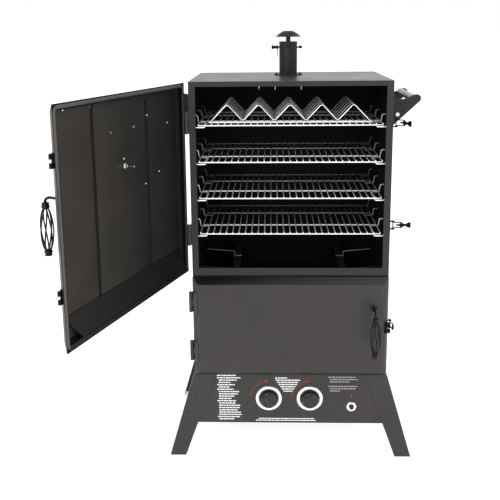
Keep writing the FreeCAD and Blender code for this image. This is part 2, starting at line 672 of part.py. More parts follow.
def cage_handle(label, rod_z):
    """A cage of twisted wires between two collars, hung from a bent rod."""
    face = size("door_y") - size("pan_depth")
    x = size("cage_x")
    y = face - size("cage_out")
    collar = size("collar_tall")
    top = rod_z - 20
    bottom = top - size("cage_len")
    hanger = wire_path([(x, face, rod_z), (x, y, rod_z), (x, y, top - collar + 3)], 12)
    shapes = [along(hanger, size("cage_rod"))]
    shapes.append(Part.makeCylinder(13, 3, Vector(x, face - 3, rod_z), Vector(0, 1, 0)))
    for low in (bottom, top - collar):
        shapes.append(Part.makeCylinder(size("collar_r"), collar, Vector(x, y, low)))
    for index in range(6):
        spots = []
        for step in range(9):
            share = step / 8
            radius = 6 + (size("cage_r") - size("cage_wire") - 6) * math.sin(math.pi * share) ** 0.7
            angle = math.radians(60 * index + 70 * share)
            height = bottom + collar - 3 + (size("cage_len") - 2 * collar + 6) * share
            spots.append(Vector(x + radius * math.cos(angle), y + radius * math.sin(angle), height))
        curve = Part.BSplineCurve()
        curve.interpolate(spots)
        shapes.append(along(Part.Wire(curve.toShape()), size("cage_wire")))
    return shaped(label, shapes[0].fuse(shapes[1:]))


def keeper(label, level):
    """A hooked catch plate on the bevel of a door's free edge, slotted to let a lever's tail pass."""
    outline = [("door_half - 3.68", "door_y - 4"), ("door_half - 12.88", "door_y - 14"),
               ("door_half - 10.5", "door_y - 16"), ("door_half + 4", "door_y - 10"),
               ("door_half + 6", "door_y - 14"), ("door_half + 8", "door_y - 13"),
               ("door_half + 5", "door_y - 6"), ("door_half - 1", "door_y - 5")]
    hook = plate(label + "_hook", "XY_Plane", outline, 40, (0, 0, level - 20))
    tail_slot = box("tail_slot", ("door_half - 2.5", "door_y - 17", level - 4.5), (12, 14, 9))
    return cut(label, hook, [tail_slot])


lower_skin = door_pan("lower_door_skin", "lower_low", "lower_high", (), [])
keep(lower_skin)
keep(cage_handle("lower_door_handle", 612))
keep(lower_leaves)
lower_keeper = keeper("lower_door_keeper", 530)
keep(lower_keeper)

plate_x = [-61, 65]
upper_skin = door_pan("upper_door_skin", "upper_low", "upper_high", (-138, 157),
                      [(0, 1201, 5), (plate_x[0], 1313, 2.5), (plate_x[1], 1313, 2.5)])
lip_out = box("lip_out", ("-door_half + 4", "door_y - 1.5", "upper_low + 4"),
               ("2 * door_half - 8", 1.5, "upper_high - upper_low - 8"))
lip_in = box("lip_in", ("-door_half + 4 + lip", "door_y - 5", "upper_low + 4 + lip"),
              ("2 * door_half - 8 - 2 * lip", 10, "upper_high - upper_low - 8 - 2 * lip"))
doc.recompute()
upper_lip = cut("upper_door_inner_frame", rounded("lip_out_round", lip_out, 20),
                [rounded("lip_in_round", lip_in, 12)])
slope = [("door_y - 22", 838), ("door_y - 23.4", 838), ("door_y - 3.4", "upper_low + 18.5"),
         ("door_y - 2", "upper_low + 18.5")]
drip_sheet = plate("drip_sheet", "YZ_Plane", slope, 679, (-347, 0, 0))
free_corner = plate("free_corner", "XZ_Plane",
                    [(277, "upper_low + 16"), (340, "upper_low + 16"), (340, 846)],
                    60, (0, "door_y + 10", 0))
hinge_corner = plate("hinge_corner", "XZ_Plane", [(-348.5, 772), (-348.5, 840), (-331.5, 840)], 60,
                     (0, "door_y + 10", 0))
drip = cut("upper_door_drip_plate", drip_sheet, [free_corner, hinge_corner])
upper_handle = cage_handle("upper_door_handle", 1166)
gauge_parts = [
    rod("gauge_case", (0, "door_y - pan_depth - 12", 1201), "y", 38, 12),
    rod("gauge_stem", (0, "door_y - pan_depth", 1201), "y", 4.9, 14),
    rod("gauge_nut", (0, "door_y - pan_depth + door_skin", 1201), "y", 9, 6),
    rod("gauge_probe", (0, "door_y - pan_depth + 14", 1201), "y", 2.5, 25),
]
gauge_well = [rod("gauge_well", (0, "door_y - pan_depth - 13", 1201), "y", 34, 5),
              rod("needle_bore", (0, "door_y - pan_depth - 13", 1201), "y", 1.55, 10)]
gauge = cut("thermometer", join("gauge_blank", gauge_parts), gauge_well)
needle_parts = [
    rod("needle_pin", (0, "door_y - pan_depth - 10.5", 1201), "y", 1.5, 6),
    rod("needle_hub", (0, "door_y - pan_depth - 10.5", 1201), "y", 4, 1.5),
    box("needle_blade", (-1, "door_y - pan_depth - 10.5", 1193), (2, 1, 36)),
]
needle = join("thermometer_needle", needle_parts)
badge_parts = [box("badge_face", (-83, "door_y - pan_depth - 1.5", 1290), (170, 1.5, 46))]
for x in plate_x:
    badge_parts.append(rod("badge_stud", (x, "door_y - pan_depth", 1313), "y", 2.4, 9))
    badge_parts.append(rod("badge_nut", (x, "door_y - pan_depth + door_skin", 1313), "y", 5, 3))
badge = join("nameplate", badge_parts)
upper_keepers = group("upper_door_keepers", [keeper("keeper_low", 909), keeper("keeper_high", 1281)])

# ---------------------------------------------------------------- latches

reach = "latch_x + bail_reach"
bases = []
LATCHES = ((1281, -30, -55), (909, 0, 0), (530, -78, 80))


def turned(label, source, pivot, heading, landing):
    """The source turned about a vertical line and carried to a landing point."""
    source.Label = label + "_straight"
    thing = group(label + "_set", [source])
    thing.Label = label
    move = FreeCAD.Placement(landing, FreeCAD.Rotation(Vector(0, 0, 1), heading))
    thing.Placement = move.multiply(FreeCAD.Placement(-pivot, FreeCAD.Rotation()))
    return thing


for index, (level, bail_heading, lever_heading) in enumerate(LATCHES, start=1):
    base_parts = [box("base_plate", ("half_width", "latch_y - 13", level - 23), (2.5, 26, 46))]
    for ear in (-15.5, 12.5):
        base_parts.append(box("base_ear", ("half_width", "latch_y - 6", level + ear), (19, 12, 3)))
    ear_bore = rod("ear_bore", ("latch_x", "latch_y", level - 20), "z", "latch_bore", 40)
    bases.append(cut("latch_base", join("base_blank", base_parts), [ear_bore]))
    bail_parts = [
        rod("bail_pivot", ("latch_x", "latch_y", level - 18), "z", "latch_wire", 36),
        rod("bail_low", ("latch_x", "latch_y", level - 9.8), "x", "latch_wire", "bail_reach"),
        rod("bail_high", ("latch_x", "latch_y", level + 9.8), "x", "latch_wire", "bail_reach"),
        rod("bail_end", (reach, "latch_y", level - 11.8), "z", "latch_wire", 23.6),
    ]
    pin = Vector(size("latch_x"), size("latch_y"), 0)
    bail_end = pin + Vector(size("bail_reach"), 0, 0)
    swing = FreeCAD.Rotation(Vector(0, 0, 1), bail_heading)
    landing = pin + swing.multVec(Vector(size("bail_reach"), 0, 0))
    keep(turned("latch_bail_%d" % index, join("bail_wire", bail_parts), pin, bail_heading, pin))
    outline = [(380, level - 3), (391, level - 3), (396, level - 7), (407, level - 7), (410, level - 4),
               (414, level - 4), (424, level - 10), (433, level - 10), (433, level + 10), (424, level + 10),
               (414, level + 4), (410, level + 4), (407, level + 7), (396, level + 7), (391, level + 3),
               (380, level + 3)]
    blade = plate("lever_blade", "XZ_Plane", outline, 2, (0, "latch_y - 1", 0), True)
    barrel = rod("lever_barrel", (reach, "latch_y", level - 7), "z", 4, 14)
    lever_bore = rod("lever_bore", (reach, "latch_y", level - 12), "z", "latch_bore", 24)
    lever = cut("lever_plate", join("lever_blank", [blade, barrel]), [lever_bore])
    keep(turned("latch_lever_%d" % index, lever, bail_end, lever_heading, landing))
keep(group("latch_bases", bases))

# ---------------------------------------------------------------- fasteners

heads = []
for side in (-1, 1):
    for x, z in ((330, 318), (352, 245), (388, 175)):
        heads.append(rod("leg_screw", (side * x, "-half_depth - 2", z), "y", 4, 2))
        heads.append(rod("rear_leg_screw", (side * x, "half_depth", z), "y", 4, 2))
    for y in (-150, 150):
        start = "half_width" if side > 0 else "-half_width - 2.5"
        heads.append(rod("side_screw", (start, y, 1200), "x", 4, 2.5))
        heads.append(rod("side_screw", (start, y, 420), "x", 4, 2.5))
keep(group("cabinet_fasteners", heads))

# ---------------------------------------------------------------- opening the upper door

doc.recompute()
turn = FreeCAD.Rotation(Vector(0, 0, 1), -size("open_angle"))
pivot = Vector(size("hinge_x"), size("hinge_y"), 0)
opening = FreeCAD.Placement(pivot, turn).multiply(FreeCAD.Placement(-pivot, FreeCAD.Rotation()))
for label, source in (
        ("upper_door_skin", upper_skin), ("upper_door_inner_frame", upper_lip),
        ("upper_door_drip_plate", drip), ("upper_door_handle", upper_handle),
        ("thermometer", gauge), ("thermometer_needle", needle), ("nameplate", badge),
        ("upper_door_hinge_leaves", upper_leaves), ("upper_door_keepers", upper_keepers)):
    source.Label = label + "_closed"
    opened = group(label + "_open", [source])
    opened.Label = label
    opened.Placement = opening
    keep(opened)

doc.recompute()

# ---------------------------------------------------------------- checks and files

for thing in doc.Objects:
    if any(word in thing.State for word in ("Invalid", "Error")):
        raise RuntimeError("%s: %s" % (thing.Name, thing.State))
for thing in nodes:
    if thing.Shape.isNull() or not thing.Shape.isValid():
        raise RuntimeError("%s has no valid shape" % thing.Label)

os.makedirs("parts", exist_ok=True)
for thing in nodes:
    thing.Shape.exportStep("parts/%s.step" % thing.Label)
print(len(nodes), "nodes")
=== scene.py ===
"""Looks of the two-door cabinet smoker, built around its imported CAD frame."""

import json
import math

import bmesh
import bpy
from mathutils import Matrix, Vector


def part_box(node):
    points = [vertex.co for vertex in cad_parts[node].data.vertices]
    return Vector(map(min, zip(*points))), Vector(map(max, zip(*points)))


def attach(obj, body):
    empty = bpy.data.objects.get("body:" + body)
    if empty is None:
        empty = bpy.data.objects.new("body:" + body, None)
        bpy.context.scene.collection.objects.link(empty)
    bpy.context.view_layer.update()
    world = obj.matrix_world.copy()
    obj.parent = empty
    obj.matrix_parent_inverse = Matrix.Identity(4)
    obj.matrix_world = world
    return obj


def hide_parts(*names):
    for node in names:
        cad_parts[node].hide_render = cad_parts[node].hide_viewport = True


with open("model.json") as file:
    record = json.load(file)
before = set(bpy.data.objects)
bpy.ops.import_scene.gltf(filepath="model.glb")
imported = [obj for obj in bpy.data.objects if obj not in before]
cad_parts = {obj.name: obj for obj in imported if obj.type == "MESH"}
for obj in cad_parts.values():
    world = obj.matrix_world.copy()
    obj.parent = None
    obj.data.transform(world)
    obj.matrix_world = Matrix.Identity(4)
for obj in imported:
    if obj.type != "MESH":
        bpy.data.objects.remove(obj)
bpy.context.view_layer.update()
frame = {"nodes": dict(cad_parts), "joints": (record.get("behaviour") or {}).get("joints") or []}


# ---------------------------------------------------------------- materials

def node_material(name, colour, metallic=0.0, roughness=0.5, variation=0.08, patch=9.0,
                  grain=900.0, grain_depth=0.00004, rough_spread=0.08, coat=0.0, specular=0.5,
                  wear=0.0, wear_colour=(0.2, 0.19, 0.18), fade=None):
    """A procedural finish: patchy colour and roughness, a fine grain, small scuffs, and painted shade.

    fade is (axis, lit place, shaded place, brightness left there): a painted shade gradient.
    """
    made = bpy.data.materials.new(name)
    made.use_nodes = True
    nodes = made.node_tree.nodes
    links = made.node_tree.links
    shader = nodes["Principled BSDF"]
    shader.inputs["Metallic"].default_value = metallic
    shader.inputs["Coat Weight"].default_value = coat
    shader.inputs["Coat Roughness"].default_value = 0.12
    shader.inputs["Specular IOR Level"].default_value = specular

    place = nodes.new("ShaderNodeTexCoord")
    patches = nodes.new("ShaderNodeTexNoise")
    patches.inputs["Scale"].default_value = patch
    patches.inputs["Detail"].default_value = 5
    links.new(place.outputs["Object"], patches.inputs["Vector"])

    tint = nodes.new("ShaderNodeValToRGB")
    tint.color_ramp.elements[0].position = 0.3
    tint.color_ramp.elements[1].position = 0.7
    dark = [part * (1 - variation) for part in colour]
    light = [part * (1 + variation) for part in colour]
    tint.color_ramp.elements[0].color = (*dark, 1)
    tint.color_ramp.elements[1].color = (*light, 1)
    links.new(patches.outputs["Fac"], tint.inputs["Fac"])
    surface = tint.outputs["Color"]

    if wear:
        scuffs = nodes.new("ShaderNodeTexNoise")
        scuffs.inputs["Scale"].default_value = 55
        scuffs.inputs["Detail"].default_value = 9
        scuffs.inputs["Distortion"].default_value = 1.4
        links.new(place.outputs["Object"], scuffs.inputs["Vector"])
        sharp = nodes.new("ShaderNodeValToRGB")
        sharp.color_ramp.elements[0].position = 0.67
        sharp.color_ramp.elements[1].position = 0.74
        sharp.color_ramp.elements[0].color = (0, 0, 0, 1)
        sharp.color_ramp.elements[1].color = (wear, wear, wear, 1)
        links.new(scuffs.outputs["Fac"], sharp.inputs["Fac"])
        mix = nodes.new("ShaderNodeMixRGB")
        mix.inputs["Color2"].default_value = (*wear_colour, 1)
        links.new(sharp.outputs["Color"], mix.inputs["Fac"])
        links.new(surface, mix.inputs["Color1"])
        surface = mix.outputs["Color"]
    # painted shade: the colour is dimmed along the axis from the lit place to the shaded one
    if fade:
        axis, lit, in_shade, left = fade
        parts = nodes.new("ShaderNodeSeparateXYZ")
        links.new(place.outputs["Object"], parts.inputs["Vector"])
        painted_shade = nodes.new("ShaderNodeMapRange")
        painted_shade.inputs["From Min"].default_value = lit
        painted_shade.inputs["From Max"].default_value = in_shade
        painted_shade.inputs["To Min"].default_value = 1.0
        painted_shade.inputs["To Max"].default_value = left
        links.new(parts.outputs[axis], painted_shade.inputs["Value"])
        dim = nodes.new("ShaderNodeMixRGB")
        dim.blend_type = "MULTIPLY"
        dim.inputs["Fac"].default_value = 1.0
        links.new(surface, dim.inputs["Color1"])
        links.new(painted_shade.outputs["Result"], dim.inputs["Color2"])
        surface = dim.outputs["Color"]
    links.new(surface, shader.inputs["Base Color"])

    spread = nodes.new("ShaderNodeMapRange")
    spread.inputs["From Min"].default_value = 0.25
    spread.inputs["From Max"].default_value = 0.75
    spread.inputs["To Min"].default_value = max(0.02, roughness - rough_spread)
    spread.inputs["To Max"].default_value = min(1.0, roughness + rough_spread)
    links.new(patches.outputs["Fac"], spread.inputs["Value"])
    links.new(spread.outputs["Result"], shader.inputs["Roughness"])

    grains = nodes.new("ShaderNodeTexNoise")
    grains.inputs["Scale"].default_value = grain
    grains.inputs["Detail"].default_value = 3
    links.new(place.outputs["Object"], grains.inputs["Vector"])
    bump = nodes.new("ShaderNodeBump")
    bump.inputs["Strength"].default_value = 0.6
    bump.inputs["Distance"].default_value = grain_depth
    links.new(grains.outputs["Fac"], bump.inputs["Height"])
    links.new(bump.outputs["Normal"], shader.inputs["Normal"])
    return made


COAT = (0.034, 0.0308, 0.0286)
INNER = (0.034, 0.0303, 0.0268)
SCUFF = (0.085, 0.08, 0.074)
MIRROR_GRAIN = 0.00001

# painted sheet; each fade is painted shade, running from the lit place to the shaded one
coat_paint = node_material(
    "powder_coat_satin", COAT, roughness=0.42, variation=0.09, patch=6, grain=1400,
    grain_depth=0.00006, specular=0.26, wear=0.35, wear_colour=SCUFF)
# the same powder coat drawn darker for the frame and panels: painted shade
cabinet_shaded_paint = node_material(
    "cabinet_coat_painted_shade", (0.026, 0.0246, 0.0235), roughness=0.42, variation=0.09, patch=6, grain=1400,
    grain_depth=0.00006, specular=0.2, wear=0.35, wear_colour=SCUFF)
roof_paint = node_material(
    "roof_coat", (0.043, 0.0335, 0.027), roughness=0.33, variation=0.12, patch=5, grain=1200,
    grain_depth=0.00002, rough_spread=0.06, specular=0.5, wear=0.4)
# the inside of the upper door darkens towards the hinge: painted shade
inner_paint = node_material(
    "door_inside_coat", INNER, roughness=0.5, variation=0.1, patch=7, grain=1300,
    grain_depth=0.00006, specular=0.14, wear=0.4, wear_colour=SCUFF, fade=("Y", -0.9, -0.24, 0.2))
# near-black for grooves, the door's inner bevels, seams and gaps: painted shade
crevice_shade_paint = node_material(
    "door_crevice_painted_shade", (0.005, 0.0047, 0.0044), roughness=0.6, variation=0.2, patch=30, grain=1300,
    specular=0.1)
# a lighter strip on one side of each groove: painted highlight, dimmed towards the hinge as painted shade
ridge_highlight_paint = node_material(
    "door_ridge_painted_highlight", (0.06, 0.055, 0.05), roughness=0.4, variation=0.15, patch=30, grain=1300,
    specular=0.3, fade=("Y", -0.9, -0.24, 0.3))
# the door coat drawn much darker for the drip plate and the lip's bottom: painted shade, deeper towards the
# hinge
drip_shade_paint = node_material(
    "drip_plate_painted_shade", (0.0125, 0.012, 0.0103), roughness=0.5, variation=0.12, patch=8, grain=1300,
    specular=0.12, wear=0.4, wear_colour=SCUFF, fade=("Y", -0.9, -0.24, 0.45))
# the door coat drawn lighter for the rolled lip: painted light
lip_lit_paint = node_material(
    "lip_coat_painted_light", (0.052, 0.047, 0.042), roughness=0.3, variation=0.12, patch=10, grain=1200,
    specular=0.5, wear=0.4, wear_colour=(0.14, 0.13, 0.12))
# the door coat drawn darker for the side bevels: painted shade
rim_shade_paint = node_material(
    "door_rim_painted_shade", (0.02, 0.0198, 0.0188), roughness=0.42, variation=0.1, patch=8, grain=1300,
    specular=0.2, wear=0.4, wear_colour=SCUFF)
# the door coat drawn darker for the top bevel, darkest at its left end: painted shade
shade_paint = node_material(
    "door_head_painted_shade", (0.03, 0.0285, 0.0265), roughness=0.4, variation=0.1, patch=8, grain=1300,
    specular=0.22, wear=0.4, wear_colour=SCUFF, fade=("X", 0.33, -0.2, 0.12))
# a lighter coat on the lower door's folded edges: painted highlight
edge_highlight_paint = node_material(
    "door_edge_painted_highlight", (0.058, 0.055, 0.051), roughness=0.35, variation=0.2, patch=30, grain=1300,
    specular=0.4)

# black hardware
black_paint = node_material(
    "black_enamel", (0.0042, 0.0042, 0.0045), roughness=0.34, variation=0.2, patch=25, grain=1100,
    specular=0.2, wear=0.5, wear_colour=(0.04, 0.038, 0.036))
latch_paint = node_material(
    "latch_black", (0.0024, 0.0024, 0.0025), roughness=0.32, variation=0.2, patch=40, grain=1300,
    specular=0.1, wear=0.3, wear_colour=(0.03, 0.029, 0.027))
bracket_paint = node_material(
    "bracket_coat", (0.0115, 0.0108, 0.0112), roughness=0.4, variation=0.12, patch=18, grain=1200,
    specular=0.3, wear=0.45, wear_colour=SCUFF)
flue_paint = node_material(
    "flue_coat", (0.0095, 0.0095, 0.0088), roughness=0.5, variation=0.14, patch=20, grain=1200,
    specular=0.22, wear=0.45, wear_colour=SCUFF)
bracket_dark = node_material(
    "bracket_soot", (0.01, 0.01, 0.0105), roughness=0.45, variation=0.3, patch=60, grain=900,
    specular=0.2)
enamel = node_material(
    "dark_enamel", (0.003, 0.003, 0.0034), roughness=0.5, variation=0.5, patch=400, specular=0.12)
knob_plastic = node_material(
    "knob_black", (0.008, 0.0075, 0.0075), roughness=0.18, variation=0.1, patch=40, grain=1600,
    grain_depth=MIRROR_GRAIN, coat=0.2, specular=0.35)

# bright metal
# the grate wires darken towards the back of the chamber, and the rib rack behind its front wire: painted
# shade
chrome = node_material(
    "chrome_wire", (0.95, 0.95, 0.94), metallic=0.55, roughness=0.28, variation=0.04, patch=40,
    grain=2000, grain_depth=MIRROR_GRAIN, rough_spread=0.06, fade=("Y", -0.2, 0.12, 0.12))
rack_chrome = node_material(
    "rib_rack_chrome", (0.97, 0.97, 0.96), metallic=0.5, roughness=0.25, variation=0.04, patch=40,
    grain=2000, grain_depth=MIRROR_GRAIN, rough_spread=0.06, fade=("Y", -0.186, -0.13, 0.2))
hook_chrome = node_material(
    "hook_chrome", (0.97, 0.97, 0.97), metallic=0.4, roughness=0.3, variation=0.04, patch=40,
    grain=2000, grain_depth=MIRROR_GRAIN, rough_spread=0.05)
trim_chrome = node_material(
    "bright_trim", (0.95, 0.95, 0.96), metallic=1.0, roughness=0.12, variation=0.02, patch=30,
    grain=1800, grain_depth=MIRROR_GRAIN, rough_spread=0.04)
zinc = node_material(
    "zinc_plate", (0.5, 0.49, 0.47), metallic=1.0, roughness=0.38, variation=0.15, patch=60, grain=1500)
bright_zinc = node_material(
    "bright_rivet", (0.95, 0.94, 0.9), metallic=1.0, roughness=0.3, variation=0.1, patch=60, grain=1500)
badge_metal = node_material(
    "badge_metal", (0.33, 0.325, 0.315), metallic=1.0, roughness=0.36, variation=0.06, patch=14,
    grain=1800, grain_depth=MIRROR_GRAIN)
aluminium = node_material(
    "tray_aluminium", (0.7, 0.7, 0.71), metallic=1.0, roughness=0.4, patch=12)
brass = node_material("valve_brass", (0.6, 0.43, 0.17), metallic=1.0, roughness=0.3, patch=50)
cast = node_material(
    "cast_burner", (0.04, 0.038, 0.036), metallic=0.6, roughness=0.7, variation=0.3, patch=60,
    grain=500, grain_depth=0.0003)

# grips, printing and the dial
# the grip's pale grey is a painted highlight, fading to near-black underneath as painted shade
grip_sheen_and_shade = node_material(
    "grip_painted_sheen_and_shade", (0.42, 0.41, 0.4), roughness=0.36, variation=0.08, patch=30, grain=1300,
    specular=0.2, fade=("Z", 1.362, 1.349, 0.02))
white_ink = node_material(
    "white_print", (0.8, 0.8, 0.79), roughness=0.6, variation=0.04, patch=300)
grey_ink = node_material(
    "grey_print", (0.3, 0.3, 0.295), roughness=0.6, variation=0.06, patch=300)
dial_white = node_material(
    "dial_face", (0.75, 0.75, 0.73), roughness=0.45, variation=0.03, patch=60)
red_ink = node_material(
    "red_print", (0.25, 0.018, 0.03), roughness=0.6, variation=0.1, patch=300)
needle_red = node_material(
    "needle_paint", (0.45, 0.03, 0.03), roughness=0.4, variation=0.05, patch=60)

CHAMBER = ((-0.35475, -0.2393, 0.3368), (0.35475, 0.2393, 1.4293))


def paint_chamber_shade(finish):
    """Make the finish near-black wherever the surface lies inside the chamber: painted shade, since little
    light gets in.
    """
    nodes = finish.node_tree.nodes
    links = finish.node_tree.links
    shader = nodes["Principled BSDF"]
    place = nodes.new("ShaderNodeTexCoord")
    parts = nodes.new("ShaderNodeSeparateXYZ")
    links.new(place.outputs["Object"], parts.inputs["Vector"])
    mask = None
    for axis, low, high in zip("XYZ", *CHAMBER):
        for bound, operation in ((low, "GREATER_THAN"), (high, "LESS_THAN")):
            test = nodes.new("ShaderNodeMath")
            test.operation = operation
            test.inputs[1].default_value = bound
            links.new(parts.outputs[axis], test.inputs[0])
            if mask is None:
                mask = test.outputs[0]
                continue
            both = nodes.new("ShaderNodeMath")
            both.operation = "MULTIPLY"
            links.new(mask, both.inputs[0])
            links.new(test.outputs[0], both.inputs[1])
            mask = both.outputs[0]
    for socket, value in (("Base Color", (0.0022, 0.0022, 0.0024)), ("Roughness", (0.85, 0.85, 0.85))):
        before = shader.inputs[socket].links[0].from_socket
        mix = nodes.new("ShaderNodeMixRGB")
        mix.inputs["Color2"].default_value = (*value, 1)
        links.new(mask, mix.inputs["Fac"])
        links.new(before, mix.inputs["Color1"])
        links.new(mix.outputs["Color"], shader.inputs[socket])


paint_chamber_shade(cabinet_shaded_paint)
paint_chamber_shade(roof_paint)

FINISHES = {
    roof_paint: ["top_panel"],
    cabinet_shaded_paint: ["left_side_panel", "right_side_panel", "back_panel", "front_frame", "bottom_panel"],
    coat_paint: ["control_panel", "front_legs", "rear_legs", "upper_door_skin", "lower_door_skin",
                 "cabinet_hinge_leaves", "upper_door_hinge_leaves", "lower_door_hinge_leaves",
                 "cabinet_fasteners"],
    lip_lit_paint: ["upper_door_inner_frame"],
    drip_shade_paint: ["upper_door_drip_plate"],
    flue_paint: ["chimney_tube", "chimney_cap"],
    bracket_paint: ["side_handle_brackets"],
    black_paint: ["damper", "upper_door_handle", "lower_door_handle", "hinge_pins", "igniter"],
    latch_paint: ["latch_bases", "latch_bail_1", "latch_bail_2", "latch_bail_3", "latch_lever_1",
                  "latch_lever_2", "latch_lever_3", "upper_door_keepers", "lower_door_keeper"],
    bracket_dark: ["pan_and_box_brackets"],
    chrome: ["cooking_grate_1", "cooking_grate_2", "cooking_grate_3", "cooking_grate_4", "rib_rack",
             "grate_supports"],
    hook_chrome: ["meat_hooks", "hook_rail"],
    trim_chrome: ["panel_bezels", "thermometer"],
    zinc: ["nameplate", "gas_manifold", "left_valve_stem", "right_valve_stem"],
    knob_plastic: ["left_knob", "right_knob", "igniter_button"],
    cast: ["burners"],
    brass: ["gas_valves"],
    aluminium: ["grease_tray"],
    enamel: ["water_pan", "wood_chip_box", "chip_box_lid"],
    grip_sheen_and_shade: ["side_handle_grips"],
    needle_red: ["thermometer_needle"],
}
for finish, names in FINISHES.items():
    for name in names:
        slots = frame["nodes"][name].material_slots
        for one in slots:
            one.material = finish


# ---------------------------------------------------------------- building helpers

def add_object(name, mesh, finish):
    """Link a mesh to the scene with one material."""
    thing = bpy.data.objects.new(name, mesh)
    bpy.context.scene.collection.objects.link(thing)
    mesh.materials.append(finish)
    return thing


def from_bmesh(name, shape, finish, smooth=True):
    """Turn a bmesh into an object."""
    bmesh.ops.recalc_face_normals(shape, faces=shape.faces)
    mesh = bpy.data.meshes.new(name)
    shape.to_mesh(mesh)
    shape.free()
    for face in mesh.polygons:
        face.use_smooth = smooth
    return add_object(name, mesh, finish)


def facing(direction):
    """A rotation that takes +Z to the direction."""
    return Vector(direction).to_track_quat("Z", "Y").to_matrix().to_4x4()


def lathe(name, profile, centre, direction, finish, steps=64, closed=False):
    """A turned shape: profile points are (radius, height) along the direction."""
    shape = bmesh.new()
    rings = []
    for radius, height in profile:
        ring = []
        for step in range(steps):
            angle = 2 * math.pi * step / steps
            spot = (radius * math.cos(angle), radius * math.sin(angle), height)
            ring.append(shape.verts.new(spot))
        rings.append(ring)
    pairs = list(zip(rings, rings[1:]))
    if closed:
        pairs.append((rings[-1], rings[0]))
    for low, high in pairs:
        for step in range(steps):
            after = (step + 1) % steps
            shape.faces.new((low[step], low[after], high[after], high[step]))
    if not closed:
        shape.faces.new(rings[0])
        shape.faces.new(rings[-1])
    place = Matrix.Translation(Vector(centre)) @ facing(direction)
    bmesh.ops.transform(shape, matrix=place, verts=shape.verts)
    thing = from_bmesh(name, shape, finish)
    crease = thing.modifiers.new("edges", "EDGE_SPLIT")
    crease.split_angle = math.radians(40)
    return thing


def block(name, low, high, finish, bevel):
    """A box with rounded edges between two corners."""
    low = Vector(low)
    high = Vector(high)
    shape = bmesh.new()
    bmesh.ops.create_cube(shape, size=1.0)
    for vert in shape.verts:
        vert.co = Vector([low[i] + (vert.co[i] + 0.5) * (high[i] - low[i]) for i in range(3)])
    bmesh.ops.bevel(shape, geom=list(shape.edges), offset=bevel, segments=3, profile=0.5, affect="EDGES")
    return from_bmesh(name, shape, finish, smooth=False)


def bar(name, points, radius, finish, smooth=True, cyclic=False):
    """Round bar along points, as a bevelled curve."""
    curve = bpy.data.curves.new(name, "CURVE")
    curve.dimensions = "3D"
    curve.bevel_depth = radius
    curve.bevel_resolution = 5
    curve.resolution_u = 10
    curve.use_fill_caps = True
    line = curve.splines.new("BEZIER" if smooth else "POLY")
    spots = line.bezier_points if smooth else line.points
    spots.add(len(points) - 1)
    for spot, point in zip(spots, points):
        if smooth:
            spot.co = point
            spot.handle_left_type = "AUTO"
            spot.handle_right_type = "AUTO"
        else:
            spot.co = (*point, 1)
    line.use_cyclic_u = cyclic
    thing = bpy.data.objects.new(name, curve)
    bpy.context.scene.collection.objects.link(thing)
    curve.materials.append(finish)
    return thing


def merge(name, pieces):
    """Join pieces, modifiers and curves included, into one mesh object."""
    depsgraph = bpy.context.evaluated_depsgraph_get()
    shape = bmesh.new()
    finishes = []
    for piece in pieces:
        seen = piece.evaluated_get(depsgraph)
        mesh = bpy.data.meshes.new_from_object(seen)
        mesh.transform(piece.matrix_world)
        for finish in mesh.materials:
            if finish not in finishes:
                finishes.append(finish)
        for face in mesh.polygons:
            face.material_index = finishes.index(mesh.materials[face.material_index])
        shape.from_mesh(mesh)
        bpy.data.meshes.remove(mesh)
    for piece in pieces:
        bpy.data.objects.remove(piece)
    mesh = bpy.data.meshes.new(name)
    shape.to_mesh(mesh)
    shape.free()
    for finish in finishes:
        mesh.materials.append(finish)
    thing = bpy.data.objects.new(name, mesh)
    bpy.context.scene.collection.objects.link(thing)
    return thing


# pieces of the upper door are drawn with it shut, then carried to where it rests by this matrix
joints = {joint["name"]: joint for joint in frame["joints"]}
hinge = Vector(joints["upper_door_swing"]["pos_m"])
hinge.z = 0
DOOR_OPEN = math.radians(-joints["upper_door_swing"]["range_deg"][1])
opening = Matrix.Translation(hinge) @ Matrix.Rotation(DOOR_OPEN, 4, "Z") @ Matrix.Translation(-hinge)

lower_low, lower_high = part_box("lower_door_skin")
RIM_Y = lower_high.y
FACE_Y = lower_low.y
PANEL_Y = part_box("control_panel")[0].y
OUTWARD = (0, -1, 0)
INWARD = (0, 1, 0)
UPWARD = (0, 0, 1)

# ---------------------------------------------------------------- controls


def bezel(name, centre_x, centre_z, inner, outer, rise):
    """A dished bright ring on the control panel."""
    mid = (inner + outer) / 2
    profile = [(outer, 0), (outer, rise * 0.35), (outer - 0.002, rise * 0.7), (outer - 0.006, rise * 0.95),
               (mid, rise), (inner + 0.003, rise * 0.93), (inner + 0.0006, rise * 0.7), (inner, rise * 0.4),
               (inner, 0)]
    return lathe(name, profile, (centre_x, PANEL_Y, centre_z), OUTWARD, trim_chrome, 96, closed=True)


